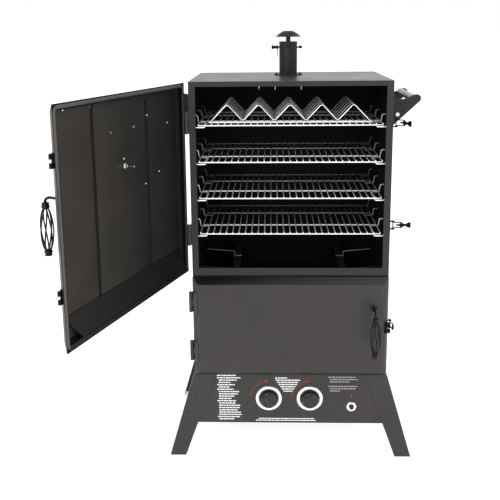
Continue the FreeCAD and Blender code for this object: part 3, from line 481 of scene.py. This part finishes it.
def knob(name, node, body):
    """A domed gas knob with a raised slanting grip."""
    low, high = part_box(node)
    centre = (low + high) / 2
    back = high.y
    radius = (high.x - low.x) / 2
    skirt = 0.010
    dome = []
    for step in range(13):
        angle = step / 12 * math.pi / 2
        dome.append((max(0.0004, radius * math.cos(angle) ** 0.55), skirt + 0.009 * math.sin(angle)))
    profile = [(radius * 0.98, 0), (radius, 0.0015), (radius, skirt - 0.001)] + dome
    body_piece = lathe(name + "_dome", profile, (centre.x, back, centre.z), OUTWARD, knob_plastic, 96)
    shape = bmesh.new()
    half = radius * 0.9
    rows = 17
    section = [(-0.0085, 0.0), (-0.0075, 0.006), (-0.0045, 0.0105), (0, 0.012), (0.0045, 0.0105),
               (0.0075, 0.006), (0.0085, 0.0)]
    grid = []
    for row in range(rows):
        along = -1 + 2 * row / (rows - 1)
        fall = math.sqrt(max(0.0, 1 - abs(along) ** 4))
        line = []
        for across, rise in section:
            spot = (along * half, across * (0.65 + 0.35 * fall), skirt + 0.002 + rise * (0.35 + 0.65 * fall))
            line.append(shape.verts.new(spot))
        grid.append(line)
    for first, second in zip(grid, grid[1:]):
        for index in range(len(section) - 1):
            shape.faces.new((first[index], first[index + 1], second[index + 1], second[index]))
    shape.faces.new(grid[0])
    shape.faces.new(grid[-1])
    tilt = Matrix.Rotation(math.radians(135), 4, "Z")
    place = Matrix.Translation((centre.x, back, centre.z)) @ facing(OUTWARD) @ tilt
    bmesh.ops.transform(shape, matrix=place, verts=shape.verts)
    ridge = from_bmesh(name + "_ridge", shape, knob_plastic)
    made = merge(name, [body_piece, ridge])
    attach(made, body)
    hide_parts(node)
    return centre


centres = [knob("knob_left", "left_knob", "left_knob"), knob("knob_right", "right_knob", "right_knob")]
low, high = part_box("igniter_button")
button_centre = (low + high) / 2
rings = [bezel("bezel_%d" % index, centre.x, centre.z, 0.0345, 0.050, 0.0078)
         for index, centre in enumerate(centres)]
rings.append(bezel("bezel_button", button_centre.x, button_centre.z, 0.0077, 0.018, 0.005))
ring_set = merge("bright_bezels", rings)
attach(ring_set, "cabinet")
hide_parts("panel_bezels")

button_long = high.y - low.y
button_profile = [(0.0073, 0), (0.0073, button_long - 0.003), (0.0066, button_long - 0.001),
                  (0.004, button_long - 0.0002), (0.0003, button_long)]
push_button = lathe("push_button", button_profile, (button_centre.x, high.y, button_centre.z), OUTWARD,
                    knob_plastic, 48)
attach(push_button, "igniter_button")
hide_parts("igniter_button")

# printing: ruled lines stand in for the words
INK = 0.0003
PRINT_Y = PANEL_Y - 0.0002
print_shape = bmesh.new()


def printed(shape, x0, z0, x1, z1):
    """A thin raised rectangle of ink."""
    made = bmesh.ops.create_cube(shape, size=1.0)
    for vert in made["verts"]:
        across = x0 + (vert.co.x + 0.5) * (x1 - x0)
        level = z0 + (vert.co.z + 0.5) * (z1 - z0)
        vert.co = Vector((across, PRINT_Y + vert.co.y * INK, level))


def ruled_words(shape, x0, z, length, tall, seed):
    """One line of print, broken into word-long dashes; the seed settles where the breaks fall."""
    space = 0.0017
    x = x0
    count = seed
    while x < x0 + length - 0.002:
        count = (count * 7 + 3) % 11
        word = min(0.006 + 0.0011 * count, x0 + length - x)
        printed(shape, x, z - tall / 2, x + word, z + tall / 2)
        x += word + space


LINE_TALL = 0.0042
SMALL_TALL = 0.0034
LINE_PITCH = 0.0094
HEADING = -0.274
INDENT = -0.268
left_lines = [(HEADING, 0.070), (HEADING, 0.088), (INDENT, 0.070), (INDENT, 0.044), (HEADING, 0.066),
              (INDENT, 0.040), (HEADING, 0.062), (INDENT, 0.076), (INDENT, 0.072), (INDENT, 0.058),
              (INDENT, 0.047), (HEADING, 0.070), (INDENT, 0.062), (INDENT, 0.080), (INDENT, 0.078),
              (INDENT, 0.071), (INDENT, 0.082), (INDENT, 0.086), (HEADING, 0.084), (INDENT, 0.056)]
for index, (start, length) in enumerate(left_lines):
    ruled_words(print_shape, start, 0.331 - index * LINE_PITCH, length, LINE_TALL, index + 2)
ruled_words(print_shape, -0.046, 0.322, 0.036, LINE_TALL, 3)
for index in range(6):
    half = 0.046 - index * 0.0058
    ruled_words(print_shape, -0.008 - half, 0.313 - index * 0.0089, 2 * half, LINE_TALL, index + 4)
ruled_words(print_shape, -0.119, 0.1555, 0.210, SMALL_TALL, 3)
ruled_words(print_shape, -0.129, 0.1480, 0.230, SMALL_TALL, 6)
words = from_bmesh("panel_print", print_shape, white_ink, smooth=False)
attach(words, "cabinet")

small_print = bmesh.new()
for index, (start, length) in enumerate(((0.143, 0.100), (0.149, 0.104), (0.149, 0.076), (0.143, 0.108),
                                         (0.149, 0.096), (0.149, 0.038))):
    paragraph_gap = 0.009 if index > 2 else 0
    ruled_words(small_print, start, 0.326 - index * LINE_PITCH - paragraph_gap, length, 0.0036, index + 5)
small_words = from_bmesh("panel_small_print", small_print, grey_ink, smooth=False)
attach(small_words, "cabinet")


def prism(shape, outline, y, thick=INK):
    """A thin plate with the outline's (x, z) points."""
    front = [shape.verts.new((x, y - thick, z)) for x, z in outline]
    rear = [shape.verts.new((x, y + thick, z)) for x, z in outline]
    shape.faces.new(front)
    shape.faces.new(rear)
    for index in range(len(outline)):
        after = (index + 1) % len(outline)
        shape.faces.new((front[index], front[after], rear[after], rear[index]))


caution = bmesh.new()
prism(caution, [(-0.056, 0.319), (-0.048, 0.319), (-0.052, 0.327)], PRINT_Y)
mark = from_bmesh("caution_triangle", caution, white_ink, smooth=False)
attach(mark, "cabinet")

# thin dark strips where the control panel meets the legs: painted shade in the seams
seam_shading = bmesh.new()
for side in (-1, 1):
    outline = [(0.2762, 0.3355), (0.2778, 0.3355), (0.3492, 0.1395), (0.3476, 0.1395)]
    prism(seam_shading, [(side * x, z) for x, z in outline], PRINT_Y)
seam_shade_strips = from_bmesh("panel_seam_shade", seam_shading, crevice_shade_paint, smooth=False)
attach(seam_shade_strips, "cabinet")

ARC_RADIUS = 0.069
ARC_START = 178
ARC_STEP = 3.25
ARC_STEPS = 24


def arc_arrow(shape, centre):
    """A red arc of dashes round a knob, ending in an arrowhead."""
    for step in range(ARC_STEPS):
        first = math.radians(ARC_START - step * ARC_STEP)
        second = math.radians(ARC_START - (step + 1) * ARC_STEP)
        wide = 0.0017 if step % 3 else 0.0004
        outline = []
        for angle, reach in ((first, ARC_RADIUS - wide), (first, ARC_RADIUS + wide),
                             (second, ARC_RADIUS + wide), (second, ARC_RADIUS - wide)):
            outline.append((centre.x + reach * math.cos(angle), centre.z + reach * math.sin(angle)))
        prism(shape, outline, PRINT_Y)
    tip_angle = math.radians(ARC_START - ARC_STEPS * ARC_STEP)
    base = Vector((math.cos(tip_angle), math.sin(tip_angle)))
    run = Vector((math.sin(tip_angle), -math.cos(tip_angle)))
    middle = Vector((centre.x, centre.z)) + base * ARC_RADIUS
    corners = [middle - base * 0.006, middle + base * 0.006, middle + run * 0.011]
    prism(shape, [(corner.x, corner.y) for corner in corners], PRINT_Y)


arrows = bmesh.new()
for centre in centres:
    arc_arrow(arrows, centre)
pointer = [(-0.0015, 0.243), (0.0015, 0.243), (0.003, 0.254), (0, 0.258), (-0.003, 0.254)]
prism(arrows, [(button_centre.x + x, z) for x, z in pointer], PRINT_Y)
red_marks = from_bmesh("red_marks", arrows, red_ink, smooth=False)
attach(red_marks, "cabinet")

# ---------------------------------------------------------------- doors

PAN_INSET = 0.023
SHEET = 0.0012
INSIDE_Y = FACE_Y + SHEET
GROOVES = (-0.138, 0.157)
GROOVE_DEEP = 0.0036
DOOR_HALF = lower_high.x
UPPER_LOW = 0.746
UPPER_HIGH = 1.428
GAUGE_Z = 1.201
BADGE_Z = 1.313
BADGE_STUDS = (-0.061, 0.065)

# what each face of a door's sheet is painted with, painted shade and highlight among them: the outside
# first, then the inside and the edge
OUTSIDE_COATS = [coat_paint, coat_paint, coat_paint, rim_shade_paint, shade_paint]
INSIDE_COATS = [inner_paint, crevice_shade_paint, ridge_highlight_paint, crevice_shade_paint, crevice_shade_paint]
PLAIN, SHADED_CREVICE, LIT_RIDGE, SHADED_SIDE, SHADED_HEAD = range(5)
LIT_EDGE = 10


def door_skin(name, low_z, high_z, grooves, body, node, at=None):
    """A pressed sheet door: bevelled sides, a flat face, V grooves and softly folded edges."""
    columns = [-DOOR_HALF + PAN_INSET]
    for groove in grooves:
        columns += [groove - 0.0105, groove - 0.0016, groove + 0.0016, groove + 0.0065]
    columns.append(DOOR_HALF - PAN_INSET)
    rows = [low_z + PAN_INSET, low_z + PAN_INSET + 0.008, low_z + PAN_INSET + 0.014,
            high_z - PAN_INSET - 0.014, high_z - PAN_INSET - 0.008, high_z - PAN_INSET]
    shape = bmesh.new()
    grid = []
    for row, z in enumerate(rows):
        line = []
        for x in columns:
            pressed = any(abs(x - groove) < 0.002 for groove in grooves) and 2 <= row <= 3
            line.append(shape.verts.new((x, FACE_Y - (GROOVE_DEEP if pressed else 0), z)))
        grid.append(line)
    for low_line, high_line in zip(grid, grid[1:]):
        for index in range(len(columns) - 1):
            after = index + 1
            face = shape.faces.new((low_line[index], low_line[after], high_line[after], high_line[index]))
            # on the inside, the grooves take painted shade and their lit edge a painted highlight
            face.material_index = (PLAIN, SHADED_CREVICE, SHADED_CREVICE, LIT_RIDGE)[index % 4] if grooves else PLAIN
    loop = grid[0] + [line[-1] for line in grid[1:-1]] + grid[-1][::-1] + [line[0] for line in grid[-2:0:-1]]
    rim = []
    for vert in loop:
        x = vert.co.x
        z = vert.co.z
        out_x = math.copysign(DOOR_HALF, x) if abs(abs(x) - DOOR_HALF + PAN_INSET) < 1e-5 else x
        out_z = z
        if abs(z - rows[0]) < 1e-6:
            out_z = low_z
        elif abs(z - rows[-1]) < 1e-6:
            out_z = high_z
        rim.append(shape.verts.new((out_x, RIM_Y, out_z)))
    for index in range(len(loop)):
        after = (index + 1) % len(loop)
        top = min(loop[index].co.z, loop[after].co.z) > rows[-1] - 0.001
        face = shape.faces.new((loop[index], loop[after], rim[after], rim[index]))
        # the side bevels take painted shade, the top bevel a painted shade that deepens to the left
        face.material_index = SHADED_HEAD if top else SHADED_SIDE
    thing = from_bmesh(name, shape, coat_paint, smooth=False)
    for finish in OUTSIDE_COATS[1:] + INSIDE_COATS + [edge_highlight_paint]:
        thing.data.materials.append(finish)
    thick = thing.modifiers.new("sheet", "SOLIDIFY")
    thick.thickness = SHEET
    thick.offset = -1
    thick.material_offset = len(OUTSIDE_COATS)
    folds = thing.modifiers.new("folds", "BEVEL")
    folds.width = 0.0011 if grooves else 0.0019
    # the lower door's folds take the painted highlight
    folds.material = -1 if grooves else LIT_EDGE
    folds.segments = 3
    folds.limit_method = "ANGLE"
    folds.angle_limit = math.radians(12)
    folds.harden_normals = True
    made = merge(name, [thing])
    for face in made.data.polygons:
        face.use_smooth = True
    for vert in made.data.vertices:
        vert.co.y = min(vert.co.y, RIM_Y)
    if at is not None:
        made.data.transform(at)
    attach(made, body)
    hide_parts(node)


door_skin("lower_skin", lower_low.z, lower_high.z, (), "lower_door", "lower_door_skin")
door_skin("upper_skin", UPPER_LOW, UPPER_HIGH, GROOVES, "upper_door", "upper_door_skin", opening)


def rounded_loop(half_x, low_z, high_z, radius, corner_steps=10):
    """Points of a rounded rectangle in the door's plane, with outward directions."""
    spots = []
    side = half_x - radius
    top = high_z - radius
    bottom = low_z + radius
    corners = ((side, top, 0), (-side, top, 90), (-side, bottom, 180), (side, bottom, 270))
    for corner_x, corner_z, start in corners:
        for step in range(corner_steps + 1):
            angle = math.radians(start + 90 * step / corner_steps)
            out = Vector((math.cos(angle), 0, math.sin(angle)))
            spots.append((Vector((corner_x, 0, corner_z)) + out * radius, out))
    return spots


def rolled_lip(name, body, node):
    """The rolled inner frame round the door's open side, with painted shade below and a painted shade line
    along its inner edge.
    """
    under = -0.0015
    margin = 0.004
    profile = [(0.0, under), (0.0, 0.0002), (0.0012, 0.0014), (0.0035, 0.0021), (0.007, 0.0024),
               (0.0105, 0.0021), (0.0128, 0.0014), (0.014, 0.0002), (0.014, under)]
    shaded_inner_edge = (5, 6, 7)
    shape = bmesh.new()
    rings = []
    for spot, out in rounded_loop(DOOR_HALF - margin, UPPER_LOW + margin, UPPER_HIGH - margin, 0.020):
        ring = []
        for inset, rise in profile:
            point = spot - out * inset
            ring.append(shape.verts.new((point.x, RIM_Y + under + rise, point.z)))
        rings.append(ring)
    for first, second in zip(rings, rings[1:] + rings[:1]):
        in_shade = max(first[0].co.z, second[0].co.z) < UPPER_LOW + 0.010
        for index in range(len(profile)):
            after = (index + 1) % len(profile)
            face = shape.faces.new((first[index], first[after], second[after], second[index]))
            if in_shade:
                face.material_index = 1
            elif index in shaded_inner_edge:
                face.material_index = 2
    made = from_bmesh(name, shape, lip_lit_paint)
    made.data.materials.append(drip_shade_paint)
    made.data.materials.append(crevice_shade_paint)
    made.data.transform(opening)
    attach(made, body)
    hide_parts(node)


rolled_lip("upper_lip", "upper_door", "upper_door_inner_frame")


def hex_nut(name, x, z, across, tall):
    """A hexagon nut on the inside of the upper door."""
    radius = across / 2
    shape = bmesh.new()
    bmesh.ops.create_cone(shape, cap_ends=True, segments=6, radius1=radius, radius2=radius, depth=tall)
    bmesh.ops.bevel(shape, geom=list(shape.edges), offset=across * 0.06, segments=2, profile=0.5,
                    affect="EDGES")
    place = Matrix.Translation((x, INSIDE_Y + tall / 2, z)) @ facing(INWARD)
    bmesh.ops.transform(shape, matrix=place, verts=shape.verts)
    return from_bmesh(name, shape, bright_zinc, smooth=False)


# the nuts, studs and weld heads seen inside the upper door
stem_profile = [(0.0045, 0), (0.0045, 0.0125), (0.0026, 0.0135), (0.0024, 0.037), (0.0008, 0.0385)]
stud_profile = [(0.0023, 0), (0.0023, 0.0076), (0.0014, 0.0084)]
weld_profile = [(0.0028, 0), (0.0026, 0.0007), (0.0018, 0.0013), (0.0003, 0.0016)]
bits = [hex_nut("gauge_nut", 0, GAUGE_Z, 0.019, 0.006),
        lathe("gauge_stem", stem_profile, (0, INSIDE_Y, GAUGE_Z), INWARD, zinc, 32)]
for x in BADGE_STUDS:
    bits.append(hex_nut("badge_nut", x, BADGE_Z, 0.0078, 0.0035))
    bits.append(lathe("badge_stud", stud_profile, (x, INSIDE_Y, BADGE_Z), INWARD, bracket_dark, 20))
weld_spots = ((0.2125, 1.3393), (0.0825, 1.2985), (0.1461, 1.1427), (0.2335, 1.1192), (0.6388, 1.404),
              (0.4848, 0.826), (0.3558, 1.2226))
for from_hinge, z in weld_spots:
    bits.append(lathe("rivet", weld_profile, (from_hinge - DOOR_HALF, INSIDE_Y, z), INWARD, bright_zinc, 20))

# the thermometer's case, dial and ticks, on the outside
gauge_case = [(0.0372, 0), (0.038, 0.001), (0.038, 0.0095), (0.0373, 0.0112), (0.0360, 0.012),
              (0.0348, 0.0113), (0.034, 0.0098), (0.034, 0.0078), (0.0009, 0.0078), (0.0009, 0)]
dial_face = [(0.0339, 0.0075), (0.0339, 0.0081), (0.0335, 0.0082), (0.0018, 0.0082), (0.0018, 0.0075)]
gauge_at = (0, FACE_Y, GAUGE_Z)
case = lathe("gauge_case", gauge_case, gauge_at, OUTWARD, trim_chrome, 96, closed=True)
face = lathe("gauge_face", dial_face, gauge_at, OUTWARD, dial_white, 96, closed=True)
TICK_END = 0.0318
ticks = bmesh.new()
for index in range(37):
    long_tick = index % 6 == 0
    angle = math.radians(225 - 7.5 * index)
    tick_start = 0.0265 if long_tick else 0.0292
    wide = 0.0007 if long_tick else 0.00035
    radial = Vector((math.cos(angle), math.sin(angle)))
    across = Vector((-radial.y, radial.x))
    outline = []
    for reach, side in ((tick_start, -wide), (TICK_END, -wide), (TICK_END, wide), (tick_start, wide)):
        spot = radial * reach + across * side
        outline.append((spot.x, GAUGE_Z + spot.y))
    prism(ticks, outline, FACE_Y - 0.0084, 0.0002)
tick_marks = from_bmesh("gauge_ticks", ticks, black_paint, smooth=False)
dial = merge("dial_gauge", [case, face, tick_marks])
dial.data.transform(opening)
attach(dial, "upper_door")
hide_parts("thermometer")

# the blank nameplate, with a raised border
BORDER_INSET = 0.003
plate_low = Vector((-0.083, FACE_Y - 0.0015, 1.290))
plate_high = Vector((0.087, FACE_Y, 1.336))
left = plate_low.x + BORDER_INSET
right = plate_high.x - BORDER_INSET
bottom = plate_low.z + BORDER_INSET
top = plate_high.z - BORDER_INSET
border = [(x, plate_low.y, z) for x, z in ((left, bottom), (right, bottom), (right, top), (left, top))]
badge_rivet = [(0.0032, 0), (0.003, 0.0006), (0.0018, 0.0012), (0.0003, 0.0014)]
badge = [block("badge_face", plate_low, plate_high, badge_metal, 0.0007),
         bar("badge_border", border, 0.0009, trim_chrome, False, cyclic=True)]
for x in BADGE_STUDS:
    badge.append(lathe("badge_rivet", badge_rivet, (x, plate_low.y, BADGE_Z), OUTWARD, bright_zinc, 24))
badge_plate = merge("badge_plate", badge)
badge_plate.data.transform(opening)
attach(badge_plate, "upper_door")
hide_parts("nameplate")

inner_bits = merge("door_inner_hardware", bits)
inner_bits.data.transform(opening)
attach(inner_bits, "upper_door")

# ---------------------------------------------------------------- handles on the doors

CAGE_X = 0.301
CAGE_OUT = 0.060
CAGE_LONG = 0.142
CAGE_WIRES = 7


def cage(name, rod_z, body, node, at=None):
    """A cage of bulging twisted wires hung from a bent rod."""
    y = FACE_Y - CAGE_OUT
    top = rod_z - 0.020
    bottom = top - CAGE_LONG
    hanger = [(CAGE_X, FACE_Y + 0.001, rod_z), (CAGE_X, FACE_Y - 0.030, rod_z),
              (CAGE_X, y + 0.008, rod_z - 0.0015), (CAGE_X, y, rod_z - 0.010), (CAGE_X, y, top - 0.006)]
    pieces = [bar(name + "_hanger", hanger, 0.0040, black_paint)]
    rose = [(0.0125, 0), (0.0125, 0.0015), (0.011, 0.003), (0.0045, 0.0036)]
    pieces.append(lathe(name + "_rose", rose, (CAGE_X, FACE_Y, rod_z), OUTWARD, black_paint, 40))
    for low_z, flip in ((bottom - 0.003, 1), (top - 0.012, -1)):
        knuckle = [(0.005, -0.0015)]
        for step in range(9):
            share = step / 8
            bulge = 0.0028 * math.sin(math.pi * share) + 0.0012 * math.sin(3 * math.pi * share + flip)
            knuckle.append((0.0085 + bulge, 0.017 * share))
        knuckle.append((0.005, 0.0185))
        pieces.append(lathe(name + "_collar", knuckle, (CAGE_X, y, low_z), UPWARD, black_paint, 32))
    for index in range(CAGE_WIRES):
        spots = []
        for step in range(9):
            share = step / 8
            radius = 0.0068 + 0.0108 * math.sin(math.pi * share) ** 0.75
            angle = 2 * math.pi * index / CAGE_WIRES + math.radians(55) * share
            height = bottom + 0.010 + (CAGE_LONG - 0.020) * share
            spots.append((CAGE_X + radius * math.cos(angle), y + radius * math.sin(angle), height))
        pieces.append(bar(name + "_wire", spots, 0.0021, black_paint))
    made = merge(name, pieces)
    if at is not None:
        made.data.transform(at)
    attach(made, body)
    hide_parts(node)


cage("lower_cage", 0.612, "lower_door", "lower_door_handle")
cage("upper_cage", 1.166, "upper_door", "upper_door_handle", opening)

# ---------------------------------------------------------------- rib rack


def bent(points, radius, steps=5):
    """The points with every corner replaced by a short arc."""
    spots = [Vector(point) for point in points]
    path = [spots[0]]
    for before, spot, after in zip(spots, spots[1:], spots[2:]):
        inward = (before - spot).normalized()
        onward = (after - spot).normalized()
        half = inward.angle(onward) / 2
        back = radius / math.tan(half)
        centre = spot + (inward + onward).normalized() * radius / math.sin(half)
        first = spot + inward * back - centre
        last = spot + onward * back - centre
        for step in range(steps + 1):
            path.append(centre + first.slerp(last, step / steps).normalized() * radius)
    path.append(spots[-1])
    return path


VALLEY_Z = 1.2863
PEAK_Z = 1.3455
RUNNER_Z = 1.2819
RACK_FRONT = -0.195
RACK_BACK = 0.095
RACK_HALF = 0.281
RIB_PITCH = 0.112
ROW_PITCH = 0.056
zig = [(-RACK_HALF, VALLEY_Z)]
for index in range(5):
    zig.append((-2 * RIB_PITCH + RIB_PITCH * index, PEAK_Z))
    zig.append((-1.5 * RIB_PITCH + RIB_PITCH * index, VALLEY_Z - 0.001))
zig[-1] = (RACK_HALF, VALLEY_Z)
wires = []
for index in range(6):
    row_y = -0.190 + ROW_PITCH * index
    path = bent([(x, row_y, z) for x, z in zig], 0.009)
    wires.append(bar("zigzag", path, 0.0018, rack_chrome, False))
for base_x in (-RACK_HALF, -0.168, -0.056, 0.056, 0.168, RACK_HALF):
    ends = [(base_x, RACK_FRONT, RUNNER_Z), (base_x, RACK_BACK, RUNNER_Z)]
    wires.append(bar("runner", ends, 0.002, rack_chrome, False))
for base_y in (RACK_FRONT, RACK_BACK):
    ends = [(-0.289, base_y, RUNNER_Z), (0.289, base_y, RUNNER_Z)]
    wires.append(bar("cross_bar", ends, 0.0025, rack_chrome, False))
rib_wires = merge("rib_rack_wires", wires)
for face in rib_wires.data.polygons:
    face.use_smooth = True
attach(rib_wires, "rib_rack")
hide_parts("rib_rack")

# ---------------------------------------------------------------- chamber details

# thin bright zinc strips along the edges of the pan hanger brackets: painted highlights on those edges
STRAP_X = 0.2145
HIGHLIGHT_WIRE = 0.0008
edge_highlights = []
for side in (-1, 1):
    strap = [(side * 0.322, 0, 0.7497), (side * STRAP_X, 0, 0.7402), (side * STRAP_X, 0, 0.697)]
    edge_highlights.append(bar("strap", strap, HIGHLIGHT_WIRE, zinc, False))
    for level in (0.7222, 0.6968):
        clip = [(side * STRAP_X, 0, level), (side * 0.185, 0, level)]
        edge_highlights.append(bar("strap_clip", clip, HIGHLIGHT_WIRE, zinc, False))
edge_highlight_set = merge("hanger_edge_highlights", edge_highlights)
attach(edge_highlight_set, "cabinet")

# a painted shadow: a thin dark strip for the shade in the gap along the top of the lower door
frame_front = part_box("front_frame")[0].y
gap_half = DOOR_HALF - 0.004
gap_low = lower_high.z + 0.0005
gap_high = lower_high.z + 0.006
gap = bmesh.new()
prism(gap, [(-gap_half, gap_low), (gap_half, gap_low), (gap_half, gap_high), (-gap_half, gap_high)],
      frame_front - 0.0002)
gap_shadow_strip = from_bmesh("door_gap_painted_shadow", gap, crevice_shade_paint, smooth=False)
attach(gap_shadow_strip, "cabinet")

# ---------------------------------------------------------------- chimney

FLUE_X = -0.001
FLUE_Y = 0.070
ROOF_Z = 1.430
HOOD_Z = 1.5753
flue_profile = [(0.033, -0.0003), (0.033, 0.1268), (0.0336, 0.127), (0.0342, 0.1268), (0.0345, 0.126),
                (0.0345, 0.0035), (0.0355, 0.0024), (0.0548, 0.002), (0.055, 0.0014), (0.055, 0.0002)]
bolt_profile = [(0.0068, 0), (0.0068, 0.0006), (0.006, 0.0012), (0.0058, 0.0048), (0.005, 0.006),
                (0.0008, 0.0066)]
pieces = [lathe("flue", flue_profile, (FLUE_X, FLUE_Y, ROOF_Z), UPWARD, flue_paint, 96, closed=True)]
for side in (-1, 1):
    bolt_at = (FLUE_X + 0.045 * side, FLUE_Y, ROOF_Z + 0.002)
    pieces.append(lathe("flange_bolt", bolt_profile, bolt_at, UPWARD, black_paint, 28))
flue = merge("flue_pipe", pieces)
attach(flue, "cabinet")
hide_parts("chimney_tube")

cap_profile = [(0.0475, 0), (0.0477, 0.0008), (0.0455, 0.0025), (0.0335, 0.0125), (0.0195, 0.0208),
               (0.0165, 0.0215), (0.0005, 0.0217), (0.0005, 0.0205), (0.016, 0.0203), (0.0325, 0.0113),
               (0.046, 0.0004)]
rivet_profile = [(0.003, 0), (0.0027, 0.0009), (0.0015, 0.0014), (0.0003, 0.0015)]
strap_half = 0.0078
pieces = [lathe("hood", cap_profile, (FLUE_X, FLUE_Y, HOOD_Z), UPWARD, flue_paint, 96, closed=True)]
for side in (-1, 1):
    near = FLUE_Y + side * 0.0345
    far = FLUE_Y + side * 0.0361
    strap_low = (FLUE_X - strap_half, min(near, far), 1.533)
    strap_high = (FLUE_X + strap_half, max(near, far), 1.5815)
    pieces.append(block("hood_strap", strap_low, strap_high, flue_paint, 0.0004))
    pieces.append(lathe("strap_rivet", rivet_profile, (FLUE_X, far, 1.543), (0, side, 0), flue_paint, 20))
hood = merge("flue_hood", pieces)
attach(hood, "cabinet")
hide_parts("chimney_cap")

SHAFT_Z = 1.536
spool = [(0.0005, 0), (0.0076, 0.0002), (0.0082, 0.001), (0.0082, 0.005), (0.0074, 0.006), (0.0058, 0.008),
         (0.0054, 0.0125), (0.0058, 0.018), (0.0072, 0.020), (0.0076, 0.021), (0.0076, 0.0252),
         (0.007, 0.026), (0.0005, 0.0262)]
end_knob = [(0.0005, 0), (0.0034, 0.0005), (0.0052, 0.003), (0.0058, 0.007), (0.005, 0.011), (0.003, 0.0138),
            (0.0005, 0.0145)]
disc = [(0.0005, -0.0008), (0.0313, -0.0008), (0.0315, 0), (0.0313, 0.0008), (0.0005, 0.0008)]
shaft = [(-0.063, FLUE_Y, SHAFT_Z), (0.043, FLUE_Y, SHAFT_Z)]
lever_low = (-0.0432, FLUE_Y - 0.004, 1.498)
lever_high = (-0.0405, FLUE_Y + 0.004, SHAFT_Z)
pieces = [bar("shaft", shaft, 0.003, black_paint, False),
          lathe("spool", spool, (-0.0652, FLUE_Y, SHAFT_Z), (1, 0, 0), black_paint, 40),
          lathe("end_knob", end_knob, (0.0385, FLUE_Y, SHAFT_Z), (1, 0, 0), black_paint, 32),
          lathe("disc", disc, (FLUE_X, FLUE_Y, SHAFT_Z), UPWARD, black_paint, 64),
          block("lever", lever_low, lever_high, black_paint, 0.0008)]
turner = merge("damper_turner", pieces)
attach(turner, "damper")
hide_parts("damper")

# ---------------------------------------------------------------- camera and light

CAMERA_AT = (-0.0703, -2.6750, 1.6187)
YAW = 0.02971
TILT = 0.19557
ROLL = -0.00922
LENS = 50.72
SENSOR = 36
SHIFT_Y = -0.17
forward = Vector((-math.sin(YAW) * math.cos(TILT), math.cos(YAW) * math.cos(TILT), -math.sin(TILT)))
level_right = Vector((math.cos(YAW), math.sin(YAW), 0))
level_up = level_right.cross(forward)
camera_right = level_right * math.cos(ROLL) + level_up * math.sin(ROLL)
camera_up = -level_right * math.sin(ROLL) + level_up * math.cos(ROLL)
camera_data = bpy.data.cameras.new("camera")
camera_data.sensor_width = SENSOR
camera_data.lens = LENS
camera_data.shift_y = SHIFT_Y
camera = bpy.data.objects.new("camera", camera_data)
turn = Matrix((camera_right, camera_up, -forward)).transposed().to_4x4()
camera.matrix_world = Matrix.Translation(CAMERA_AT) @ turn
bpy.context.scene.collection.objects.link(camera)
bpy.context.scene.camera = camera

world = bpy.data.worlds.new("studio")
world.use_nodes = True
world.node_tree.nodes["Background"].inputs["Color"].default_value = (1, 1, 1, 1)
world.node_tree.nodes["Background"].inputs["Strength"].default_value = 1.0
bpy.context.scene.world = world


def softbox(name, at, target, width, height, power):
    """A large rectangular studio light."""
    light = bpy.data.lights.new(name, "AREA")
    light.shape = "RECTANGLE"
    light.size = width
    light.size_y = height
    light.energy = power
    thing = bpy.data.objects.new(name, light)
    thing.location = at
    thing.rotation_euler = (Vector(target) - Vector(at)).to_track_quat("-Z", "Y").to_euler()
    bpy.context.scene.collection.objects.link(thing)


softbox("key", (-1.6, -3.2, 2.6), (0, 0, 0.9), 1.6, 1.6, 45)
softbox("fill", (2.4, -2.6, 1.6), (0, 0, 0.8), 1.4, 2.0, 20)

floor_finish = node_material("floor_paper", (0.9, 0.9, 0.9), roughness=0.9, variation=0.01, patch=3,
                             grain=60)
floor_shader = floor_finish.node_tree.nodes["Principled BSDF"]
floor_shader.inputs["Emission Color"].default_value = (1, 1, 1, 1)
floor_shader.inputs["Emission Strength"].default_value = 0.45
shape = bmesh.new()
bmesh.ops.create_grid(shape, x_segments=2, y_segments=2, size=60)
floor = from_bmesh("floor", shape, floor_finish, smooth=False)

bpy.context.scene.view_settings.view_transform = "Standard"
